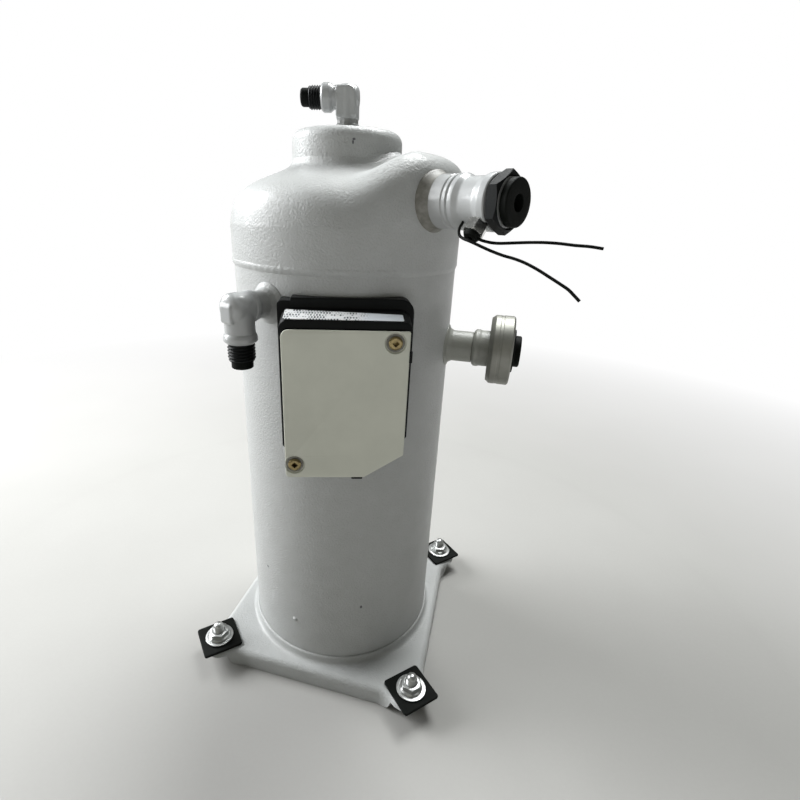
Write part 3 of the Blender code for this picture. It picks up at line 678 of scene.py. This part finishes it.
def pocket_weight(radius, angle):
    """How much of the raised pocket a point of the top cap takes, from 0 to 1."""
    share = smooth((radius - 50) / 30)
    middle, flat, edge = (a + (b - a) * share for a, b in zip(POCKET_INSIDE, POCKET_OUTSIDE))
    turn = math.degrees(math.acos(math.cos(angle - math.radians(middle))))
    return smooth((edge - turn) / (edge - flat))


def build_top_cap():
    """The pressed cap: a sloping shoulder that swells into the raised pocket for the discharge port."""
    low_line = curved(SHOULDER) + [Vector(p) for p in SHOULDER_IN]
    high_line = curved(POCKET) + [Vector(p) for p in POCKET_IN]

    def section(angle):
        pairs = zip(low_line, high_line)
        return [tuple(low.lerp(high, pocket_weight(high.x, angle))) for low, high in pairs]

    place(spun("top_cap_skin", section, steps=288, closed=True, sharp=50), "paint", "top_cap")


def seam_section(angle):
    """The weld where the cap laps the shell: a low wavy bead, tallest on the left."""
    share = 0.5 + 0.5 * math.cos(angle - math.radians(SEAM_TALLEST))
    wave = noise.noise(Vector((7 * math.cos(angle), 7 * math.sin(angle), 0.5)))
    ripple = math.sin(95 * angle + 3 * wave)
    height = 0.25 + share * (0.75 + 0.35 * wave) + 0.08 * ripple
    drop = 0.5 * wave * share
    points = []
    for i in range(9):
        part = i / 8
        bulge = height * math.sin(math.pi * part) ** 0.8
        points.append((91.35 - 1.15 * part + bulge, SEAM_Z + 2.2 - 5.2 * part + drop))
    return points + [(89.8, SEAM_Z - 2.6 + drop), (89.8, SEAM_Z + 2.2 + drop)]


def build_shell():
    wall = [(SHELL_IN, SHELL_FOOT), (SHELL_IN, 372)]
    levels = [(SHELL_R, 373.7 - 5 * i) for i in range(70)]
    levels += [(SHELL_R, SHELL_FOOT + 0.6), (SHELL_R - 0.6, SHELL_FOOT)]
    skin = [(87.6, 373.7)] + levels + wall
    place(spun("mid_shell_skin", skin, steps=240, closed=True), "paint", "mid_shell")
    build_top_cap()
    place(spun("seam_weld", seam_section, steps=720, closed=True, sharp=60), "paint", body="housing",
          slot="grey_paint")
    low_cap = rounded([
        (0, 3.5), (30, 3.5, 40), (64, 7.5, 20), (77, 15.5, 12), (83, 29, 15), (83, 44), (86.4, 44),
        (86.4, 28, 15), (80.5, 12.5, 14), (66, 4, 22), (30, 0, 50), (0, 0)])
    place(spun("lower_cap_skin", low_cap, steps=180), "paint", "lower_cap")
    hat = rounded([
        (4.5, HAT_TOP, 0.8), (20, HAT_TOP - 0.1), (HAT_R - 0.2, HAT_TOP - 0.9, 8), (HAT_R, 450),
        (HAT_R, 440), (14, 440), (14, 443.5), (37.8, 443.5), (37.8, 463.8, 8), (4.5, 463.8)], steps=12)
    place(spun("unloading_hat_skin", hat, steps=180, closed=True), "paint", "unloading_hat")


# Marks: name, radius of the wall, direction round it, height, width, tallness and finish
MARKS = [
    ("hat_nick_upper", HAT_R, -66.2, 458.2, 1.1, 0.8, "cast"),
    ("hat_nick_lower", HAT_R, -67.1, 456.3, 0.7, 1.2, "cast"),
    ("shell_spatter", SHELL_R, -100.9, 60.8, 2.5, 2.2, "paint"),
    ("shell_nick", SHELL_R, -61.5, 84.3, 1.1, 1.7, "cast"),
    ("shell_scuff", SHELL_R, -122.3, 103.8, 1.2, 1.0, "cast")]


def build_marks():
    """Small nicks in the paint and one drop of weld spatter."""
    for name, radius, degrees, height, wide, tall, finish in MARKS:
        lift = 1.5 if finish == "paint" else 0.08
        drop = rounded([(0, lift), (0.62, 0.72 * lift, 0.4), (1, 0), (1, -0.5), (0, -0.5)], 5)
        at = port_frame((degrees, height)) @ Matrix.Translation((0, 0, radius))
        shape = at @ Matrix.Diagonal((tall, wide, 1, 1))
        place(spun(name, drop, shape, 36), finish, body="housing", slot="grey_paint")


# ---------------------------------------------------------------- base plate and feet

def leg_outline(inset):
    """One leg of the base outline, from the middle of one side to the middle of the next."""
    side = (PLATE_SIDE - inset) * math.sqrt(2)
    half, fillet, corner, tip = LEG_HALF - inset, LEG_FILLET + inset, LEG_END_ROUND - inset, LEG_END - inset
    centre_u = side - half + fillet * math.tan(math.pi / 8)
    points = []
    for i in range(11):
        angle = math.pi * 5 / 4 + math.pi / 4 * i / 10
        points.append((centre_u + fillet * math.cos(angle), half + fillet + fillet * math.sin(angle)))
    middle, bend = Vector((side / 2, side / 2)), Vector(points[0])
    points = [tuple(middle.lerp(bend, i / 16)) for i in range(16)] + points
    for i in range(1, 10):
        points.append((centre_u + (tip - corner - centre_u) * i / 10, half))
    for i in range(15):
        angle = math.pi / 2 - math.pi / 2 * i / 14
        points.append((tip - corner + corner * math.cos(angle), half - corner + corner * math.sin(angle)))
    return points + [(u, -v) for u, v in reversed(points[1:])]


def skirt_foot(u):
    """How high the skirt's lower edge is along a leg: it sweeps up to the sheet before the tip."""
    part = min(max((u - SKIRT_START) / (SKIRT_END - SKIRT_START), 0), 1)
    return (PLATE_TOP - SHEET - 1) * (1 - math.sqrt(1 - part ** 2))


def base_ring(inset, height):
    ring = []
    for quarter in range(4):
        angle = math.pi / 4 + quarter * math.pi / 2
        for u, v in reversed(leg_outline(inset)):
            ring.append(Vector((u * math.cos(angle) - v * math.sin(angle),
                                u * math.sin(angle) + v * math.cos(angle), max(height, skirt_foot(u)))))
    return ring


def build_base():
    """The pressed plate: skirt, rounded rim, top sheet and the collar that holds the shell."""
    rings = [base_ring(0, z) for z in (0, 4, 8, PLATE_TOP - PLATE_ROUND)]
    for i in range(1, 8):
        angle = math.pi / 2 * i / 7
        inset = PLATE_ROUND * (1 - math.cos(angle))
        rings.append(base_ring(inset, PLATE_TOP - PLATE_ROUND + PLATE_ROUND * math.sin(angle)))
    rim = rings[-1]

    def circle(radius, height):
        return [Vector((p.x, p.y, 0)).normalized() * radius + Vector((0, 0, height)) for p in rim]

    foot = circle(COLLAR_R, PLATE_TOP)
    for part in (0.25, 0.5, 0.75):
        rings.append([a.lerp(b, part) for a, b in zip(rim, foot)])
    collar = [
        (COLLAR_R, PLATE_TOP), (95.4, 18.15), (94.3, 18.6), (93.4, 19.4), (92.8, 20.6), (92.5, 22),
        (92.3, 23.6), (92.1, 24.9), (91.6, 25.7), (91.0, 26), (90.45, 26), (90.45, 23.7), (86.8, 23.7),
        (86.8, 15.5)]
    rings += [circle(radius, height) for radius, height in collar]
    inner = base_ring(5.0, PLATE_TOP - SHEET)
    rings += [[a.lerp(b, part) for a, b in zip(rings[-1], inner)] for part in (0.4, 0.8)]
    under = ((4.4, 15.4), (3.2, 14.9), (SHEET, 13.4), (SHEET, 7), (SHEET, 0))
    rings += [base_ring(inset, z) for inset, z in under]
    bm = bmesh.new()
    stitch(bm, rings, along=True)
    place(to_object("base_plate_pressing", bm, sharp=40), "paint", "base_plate")


STUD_THREAD = thread(4.9, 0.5, 1.5, 12, 35.0)
STUD_TIP = [(0, 38), (1.2, 37.9), (2.4, 37.5), (3.4, 36.8), (4.1, 35.9), (4.4, 35.1)]


def stud_section(angle):
    """A foot bolt's rounded tip and the thread below it."""
    return STUD_TIP + STUD_THREAD(angle)[1:-1] + [(0, 12)]


def build_feet():
    for name, degrees in CORNERS.items():
        angle = math.radians(degrees)
        at = Matrix.Translation((BOLT_U * math.cos(angle), BOLT_U * math.sin(angle), 0)) @ turn_z(degrees)
        corners = ((-1, -1), (1, -1), (1, 1), (-1, 1))
        square = rounded([(x * PAD_HALF, y * PAD_HALF, 2.5) for x, y in corners])
        pad = slab(f"pad_moulding_{name}", square, 18.3, 20.8, at, rounding=0.7)
        place(pad, "rubber", f"foot_pad_{name}")
        washer = rounded([(5.4, 22.6, 0.2), (13, 22.6, 0.35), (13, 21.1, 0.35), (5.4, 21.1, 0.2)], 3)
        place(spun(f"washer_disc_{name}", washer, at, closed=True), "zinc", f"foot_washer_{name}")
        nut = hexagon_nut(16, 22.9, 29.4, 5.3, 7.7, flange=(10, 1.4))
        place(spun(f"nut_hexagon_{name}", nut, at @ turn_z(30), 144, True), "zinc", f"foot_nut_{name}")
        bolt = spun(f"stud_thread_{name}", stud_section, at, 48, sharp=40)
        place(bolt, "zinc", f"foot_bolt_{name}")
        head = hexagon_nut(16, 9.2, 15.2, 4.0, 7.6)
        place(spun(f"bolt_head_{name}", head, at @ turn_z(30), 144, True), "steel", body="housing",
              slot="bare_steel")


# ---------------------------------------------------------------- ports

# Distances between which the discharge tube's foot goes over from the cap's curve to a straight tube
DISCHARGE_SADDLE = (91.5, 97)


def discharge_weld_section(angle):
    """The uneven ring of weld round the discharge tube where it meets the cap."""
    wobble = 0.25 * noise.noise(Vector((3 * math.cos(angle), 3 * math.sin(angle), 2.5)))
    line = [(16.9, 97.6), (17.1, 96.8), (17.5, 95.2), (18.1, 93.6), (18.9 + wobble, 92.3),
            (19.7 + wobble, 91.2), (19.5, 89.5), (16.9, 89.5)]
    return saddled(line, CAP_R, *DISCHARGE_SADDLE)(angle)


def build_discharge():
    at = port_frame(DISCHARGE)
    stub = rounded([
        (12.5, 111.7), (15.9, 111.7), (16.3, 111.2), (17.0, 110.6, 0.3), (17.0, 109.2, 0.3),
        (16.1, 108.4, 0.3), (16.1, 107.4, 0.3), (16.8, 106.6, 0.3), (16.8, 95.5, 2.5), (18.6, 92.2, 2),
        (19.2, 89.8), (12.5, 89.8)])
    tube = spun("discharge_stub_tube", saddled(stub, CAP_R, *DISCHARGE_SADDLE), at, 96, True)
    place(tube, "port_paint", "discharge_stub")

    # Its dark colour is partly painted shade for the hollow round the tube's foot.
    place(spun("discharge_weld", discharge_weld_section, at, 144, True, sharp=60), "weld", body="housing",
          slot="grey_paint")
    adapter = rounded([
        (11.3, 146.6), (14.4, 146.6, 0.5), (14.4, 138.9), (16.4, 138.9), (17, 138.2, 0.6), (17, 134, 2.5),
        (15.2, 129.4, 5), (15.2, 119, 4), (17, 115.4, 2), (17, 112.3, 0.5), (16, 112, 0.3), (11.3, 112)])
    place(spun("discharge_adapter_turned", adapter, at, 120, True), "port_paint", "discharge_adapter")
    nut = hexagon_nut(32, 139.8, 147.5, 14.9, 15.6)
    place(spun("discharge_nut_hexagon", nut, at, 144, True), "plastic", "discharge_nut")
    plug = rounded([
        (0, 144.2), (5, 144.2, 0.4), (5, 152.5, 0.5), (14, 152.5, 1.0), (14, 147.9, 0.4), (10.9, 147.9),
        (10.9, 136, 0.6), (0, 136)])
    place(spun("discharge_plug_moulding", plug, at), "rubber", "discharge_plug")


def build_suction():
    at = port_frame(SUCTION)
    # The stub and its adapter are painted darker and more olive than the shell: painted shade on the shaded
    # right side.
    stub = rounded([
        (9.5, 111), (12.3, 111, 0.3), (12.6, 110.4, 0.2), (12.6, 94.8, 3), (14.2, 92.0, 2),
        (16.9, 90.9, 0.8), (17.3, 89.4), (9.5, 89.4)], 8)
    flare = spun("suction_stub_flare", saddled(stub, SHELL_R, 90.3, 100), at, 120, True, sharp=50)
    place(flare, "port_paint_with_painted_shade", "suction_stub")
    adapter = rounded([
        (9.5, 134), (21.8, 134, 0.6), (21.8, 129.5, 0.6), (14.8, 129.5, 0.3), (14.6, 126.8, 2),
        (14.6, 117.6, 1), (15.2, 115.8, 1.2), (15.2, 113.2, 0.8), (13.4, 111.3, 0.5), (9.5, 111.3)])
    place(spun("suction_adapter_turned", adapter, at, 120, True), "port_paint_with_painted_shade", "suction_adapter")
    nut = rounded([
        (22.3, 142.5), (26.6, 142.5, 1.0), (28, 141.2, 1.0), (28, 134.0, 0.4), (27.75, 133.6, 0.4),
        (27.75, 131.6, 0.4), (28, 131.2, 0.4), (28, 127.4, 1.6), (25.4, 124.1, 1.2), (15.4, 124),
        (15.4, 129.2), (22.3, 129.2)], 5)
    place(spun("suction_nut_union", nut, at, 192, True), "dull_steel", "suction_nut")
    plug = rounded([
        (0, 149), (12, 149, 0.8), (12.6, 148, 0.8), (12.6, 144.2, 0.5), (17.3, 144.2, 0.4),
        (17.3, 142.9, 0.3), (21.6, 141.8, 0.4), (21.6, 134.4), (0, 134.4)])
    place(spun("suction_plug_moulding", plug, at), "rubber", "suction_plug")


def build_unloading_elbow():
    half, mid = 8.3, UNLOAD_ARM[1]
    upright = rounded([(0, 475.6), (8.6, 475.6, 0.8), (8.6, mid + 8.4, 5.5), (0, mid + 8.4)], 10)
    across = rounded([(0, -8.6), (8.4, -8.6, 5.0), (8.4, 9.4, 0.6), (0, 9.4)], 10)
    flat = rounded([(-7, 477, 1), (8.2, 477, 1), (8.2, mid + 7, 1.5), (-7, mid + 7, 6)], 6)
    block = blended("unloading_elbow_block", [
        spun("upright_tube", upright), spun("across_tube", across, port_frame(UNLOAD_ARM)),
        slab("flat_sides", flat, -half, half, elbow_frame((UNLOAD_ARM[0], 0)), rounding=1.5)])
    place(block, "port_paint", "unloading_elbow")
    at = port_frame(UNLOAD_ARM)
    arm = rounded([
        (4.9, 19.6), (8.4, 19.6, 0.6), (9.7, 18.0, 1.2), (9.7, 13.0, 1.8), (7.9, 10.8, 0.9), (7.6, 7.8),
        (4.9, 7.8)])
    place(spun("unloading_arm_collar", arm, at, 96, True), "port_paint", body="housing", slot="grey_paint")
    threads = thread(8.0, 0.75, 1.9, 19.4, 29.0, core=4.9)
    place(spun("unloading_arm_thread", threads, at, 72, True, sharp=60), "plastic", body="housing",
          slot="black_plastic")
    foot = rounded([
        (5, 478), (7.6, 478, 0.4), (8.2, 475.8, 0.5), (8.2, 473.0, 0.4), (8.9, 472.2, 0.4),
        (8.9, 469.6, 0.4), (8.3, 468.4, 0.3), (5, 468.4)])
    place(spun("unloading_elbow_foot", foot, steps=12, closed=True, sharp=20), "dark_paint", body="housing",
          slot="grey_paint")
    cap = rounded([
        (0, 35.2), (5.4, 35.2, 0.8), (6.2, 34.0, 0.8), (6.2, 29.3, 0.4), (4.5, 29.3, 0.2), (4.5, 21),
        (0, 21)])
    place(spun("unloading_cap_moulding", cap, at), "rubber", "unloading_cap")


def build_injection():
    at = port_frame(INJECTION)
    stub = rounded([
        (5, 103), (9.4, 103, 0.3), (9.6, 102.5, 0.2), (9.6, 96.0, 3), (11.4, 92.6, 2.5), (14.4, 90.8, 0.8),
        (14.8, 89.4), (5, 89.4)], 8)
    flare = spun("injection_stub_flare", saddled(stub, SHELL_R, 90.5, 98), at, 96, True, sharp=50)
    place(flare, "paint", "injection_stub")
    half, mid = 9.6, INJECTION[1]
    down = Matrix.Translation(around((INJECTION[0], 0), INJECTION_LEG))
    upright = rounded([(0, 332), (10.3, 332, 0.8), (10.3, mid + half, 6.5), (0, mid + half)], 10)
    across = rounded([(0, 126.2), (10.4, 126.2, 5.5), (10.4, 104.6, 0.8), (0, 104.6)], 10)
    heel = rounded([(116, 341, 1.2), (127.6, 341, 1.4), (127.6, 354.5, 4), (116, 357, 1.2)], 4)
    block = blended("injection_elbow_block", [
        spun("upright_tube", upright, down), spun("across_tube", across, at),
        slab("heel_slab", heel, -5.5, 5.5, elbow_frame((INJECTION[0], 0)), rounding=2.2)], rounds=12)
    place(block, "port_paint", "injection_elbow")
    arm = rounded([
        (5, 110), (9.4, 110, 0.4), (10.9, 108.0, 1.6), (10.9, 105.6, 0.8), (10.2, 104.4, 0.4),
        (10.2, 103.3, 0.2), (5, 103.3)])
    place(spun("injection_arm_collar", arm, at, 96, True), "port_paint", body="housing", slot="grey_paint")
    leg = rounded([
        (6.2, 345), (9.4, 345), (10.1, 340, 2), (10.3, 333.4, 1.0), (11.0, 332.4, 1.2), (11.6, 330.6, 1.0),
        (11.6, 328.2, 0.8), (9.6, 326.4, 0.5), (6.2, 326.4)])
    place(spun("injection_leg_collar", leg, down, 96, True), "port_paint", body="housing",
          slot="grey_paint")
    threads = thread(9.5, 0.9, 2.2, 314, 326.4, core=6.2)
    place(spun("injection_leg_thread", threads, down, 72, True, sharp=60), "plastic", body="housing",
          slot="black_plastic")
    cap = rounded([
        (0, 322), (5.8, 322), (5.8, 313.7, 0.2), (7.5, 313.7, 0.5), (7.5, 309.2, 0.5), (6.7, 308.6, 0.5),
        (0, 308.6)])
    place(spun("injection_cap_moulding", cap, down), "rubber", "injection_cap")


# ---------------------------------------------------------------- discharge sensor

SENSOR_OUT = 133.0
SENSOR_DOWN = 50.0


def sensor_frame():
    """A frame on the discharge axis whose Z points down and forward through the sensor."""
    angle, down = math.radians(DISCHARGE[0]), math.radians(SENSOR_DOWN)
    outward = Vector((math.cos(angle), math.sin(angle), 0))
    forward = Vector((math.sin(angle), -math.cos(angle), 0))
    axis = forward * math.cos(down) - Vector((0, 0, math.sin(down)))
    turn = Matrix((outward, axis.cross(outward), axis)).transposed().to_4x4()
    return Matrix.Translation(around(DISCHARGE, SENSOR_OUT)) @ turn


def build_sensor():
    at = sensor_frame()
    body = hexagon_nut(12, 15.6, 24, 1.5, 5.8)
    place(spun("sensor_hexagon", body, at, 144, True), "nickel", "sensor_fitting")
    end = rounded([(1.5, 27), (4.2, 27, 1.0), (5.2, 25.4, 0.8), (5.2, 24.05), (1.5, 24.05)])
    place(spun("sensor_boot", end, at, 72, True), "rubber", body="housing", slot="black_rubber")


# ---------------------------------------------------------------- terminal box, in a frame that faces it

# The box's half widths at its foot and above, the heights of its foot and of its top's back and front
# edges, and how far its back, its front and the cover's faces are from the shell axis
BOX_FOOT_HALF = 41.3
BOX_HALF = 43.25
BOX_BOTTOM = 235.2
BOX_TOP_BACK = 351.5
BOX_TOP_FRONT = 347.8
BOX_BACK = 95.3
BOX_FRONT = 114.0
COVER_BACK = 114.3
COVER_FRONT = 116.6
SCREWS = {"upper": (32.0, 334.3), "lower": (-35.0, 245.3)}


def facing():
    """A frame with X along the box, Y up and Z straight out of its cover."""
    return turn_z(BOX_TURN) @ Matrix(((1, 0, 0, 0), (0, 0, -1, 0), (0, 1, 0, 0), (0, 0, 0, 1)))


def build_terminal_base():
    outline = rounded([
        (-46, 257, 3), (46, 257, 3), (46, 358.5, 9), (-37, 358.5, 1.0), (-37, 356.5, 0.8),
        (-46, 356.5, 3)])
    plate = slab("terminal_base_saddle", outline, 60, 95, facing(), rounding=1.2)
    wall = SHELL_R + 0.15
    shell = spun("saddle_cutter", [(0, 372), (wall, 372), (wall, 200), (0, 200)], steps=240)
    notch = spun("notch_cutter", [(0, 125), (14.6, 125), (14.6, 60), (0, 60)], port_frame(INJECTION))
    place(cut(plate, shell, notch), "plastic", "terminal_base")


def box_row(top, depth, inset):
    """The box's outline at one depth: narrower behind the cover's foot, with one lower corner cut off."""
    wide, narrow, foot = BOX_HALF - inset, BOX_FOOT_HALF - inset, BOX_BOTTOM + inset
    corner = max(6.5 - inset, 0.5)
    outline = rounded([
        (-narrow, foot, 2.0), (14, foot, 3.0), (narrow, foot + 18, 2.0), (narrow, 264, 0.5),
        (wide, 266, 0.5), (wide, top - inset, corner), (-wide, top - inset, corner), (-wide, 259, 0.5),
        (-narrow, 257, 0.5)], 6)
    return [Vector((x, y, depth)) for x, y in outline]


def build_terminal_box():
    """The moulded box: its top slopes forward and its rim stands round the cover."""
    rows = [box_row(*row) for row in (
        (BOX_TOP_BACK, BOX_BACK, 1.0), (BOX_TOP_BACK, 96.2, 0), (348.0, 113.1, 0),
        (BOX_TOP_FRONT, 113.8, 0.3), (BOX_TOP_FRONT, BOX_FRONT, 0.9), (343.9, BOX_FRONT, 1.3),
        (343.9, 98.0, 1.3))]
    bm = bmesh.new()
    grid = [[bm.verts.new(point) for point in row] for row in rows]
    count = len(grid[0])
    for here, there in zip(grid, grid[1:]):
        for i in range(count):
            j = (i + 1) % count
            bm.faces.new((here[i], here[j], there[j], there[i]))
    bm.faces.new(grid[0])
    bm.faces.new(grid[-1])
    place(to_object("terminal_box_moulding", bm, facing()), "plastic", "terminal_box")
    tabs = {"lower_tab": (5.0, 233.6, 13.0, 236.5), "side_tab": (40.6, 321, 43.4, 329)}
    for name, (left, low, right, high) in tabs.items():
        outline = rounded([(left, low, 0.6), (right, low, 0.6), (right, high, 0.6), (left, high, 0.6)], 3)
        place(slab(f"terminal_box_{name}", outline, 112, 116.4, facing(), rounding=0.4), "plastic",
              body="housing", slot="black_plastic")


def build_cover():
    outline = rounded([
        (-41.5, 235, 3), (14, 235, 1.5), (41.5, 253, 1.5), (41.5, 342, 1.2), (-41.5, 342, 5)])
    cover = slab("terminal_cover_moulding", outline, COVER_BACK, COVER_FRONT, facing(), rounding=0.7)
    for name, (side, height) in SCREWS.items():
        at = facing() @ Matrix.Translation((side, height, 0))
        dish = spun(f"dish_{name}", rounded([
            (0, 119), (7.6, 119), (7.2, COVER_FRONT), (6.2, 115.2, 0.8), (2.6, 114.9), (2.6, 112),
            (0, 112)]), at, 72)
        cut(cover, dish)
        screw = rounded([
            (0, 117.6), (3.6, 117.6, 0.5), (4.6, 116.7, 0.4), (4.6, 115.9, 0.2), (2.1, 115.7), (2.1, 101),
            (0, 101)], 4)
        head = spun(f"screw_head_{name}", screw, at, 60)
        square = [(-1.7, -1.7), (1.7, -1.7), (1.7, 1.7), (-1.7, 1.7)]
        cut(head, slab(f"socket_{name}", square, 113.4, 119, at @ turn_z(45)))
        head.data.set_sharp_from_angle(angle=math.radians(30))
        place(head, "brass", f"cover_screw_{name}")
        # A dark ring on the dish floor under each screw head: painted shade in the dish.
        dish_shade_ring = rounded([(2.6, 115.4), (6.1, 115.4, 0.2), (6.1, 114.95), (2.6, 114.95)], 3)
        place(spun(f"screw_dish_painted_shade_{name}", dish_shade_ring, at, 60, True), "weld", body="housing", slot="cover_plastic")
    cover.data.set_sharp_from_angle(angle=math.radians(30))
    place(cover, "cover", "terminal_cover")


def build_rating_label():
    slope = math.atan2(BOX_TOP_BACK - BOX_TOP_FRONT, BOX_FRONT - BOX_BACK)
    front_edge = Matrix.Translation((0, -BOX_FRONT, BOX_TOP_FRONT))
    lid = turn_z(BOX_TURN) @ front_edge @ Matrix.Rotation(slope, 4, "X")
    outline = rounded([(-40, 0.6, 0.8), (37, 0.6, 0.8), (37, 10, 0.8), (-40, 16, 0.8)], 3)
    film = slab("rating_label_film", outline, 0.1, 0.6, lid, rounding=0.1, segments=2)
    place(film, "label", "rating_label")


# ---------------------------------------------------------------- pieces inside keep their own shapes

def finish_inner_pieces():
    finishes = {
        "cast": ("fixed_scroll", "orbiting_scroll", "main_bearing_housing", "lower_bearing", "stator_core"),
        "steel": ("oldham_ring", "crankshaft", "rotor", "upper_counterweight", "lower_counterweight",
                  "muffler_plate", "floating_seal", "check_valve_disc", "unloading_piston",
                  "hermetic_terminal"),
        "brass": ("drive_bushing",),
        "copper": ("stator_winding",)}
    for finish, names in finishes.items():
        for name in names:
            mesh = frame["nodes"][name].data
            mesh.materials.clear()
            mesh.materials.append(FINISH[finish])


build_camera()
build_lead("sensor_lead_front", LEAD_FRONT)
build_lead("sensor_lead_low", LEAD_LOW)
build_stage()
build_shell()
build_marks()
build_base()
build_feet()
build_discharge()
build_suction()
build_unloading_elbow()
build_injection()
build_sensor()
build_terminal_base()
build_terminal_box()
build_cover()
build_rating_label()
finish_inner_pieces()
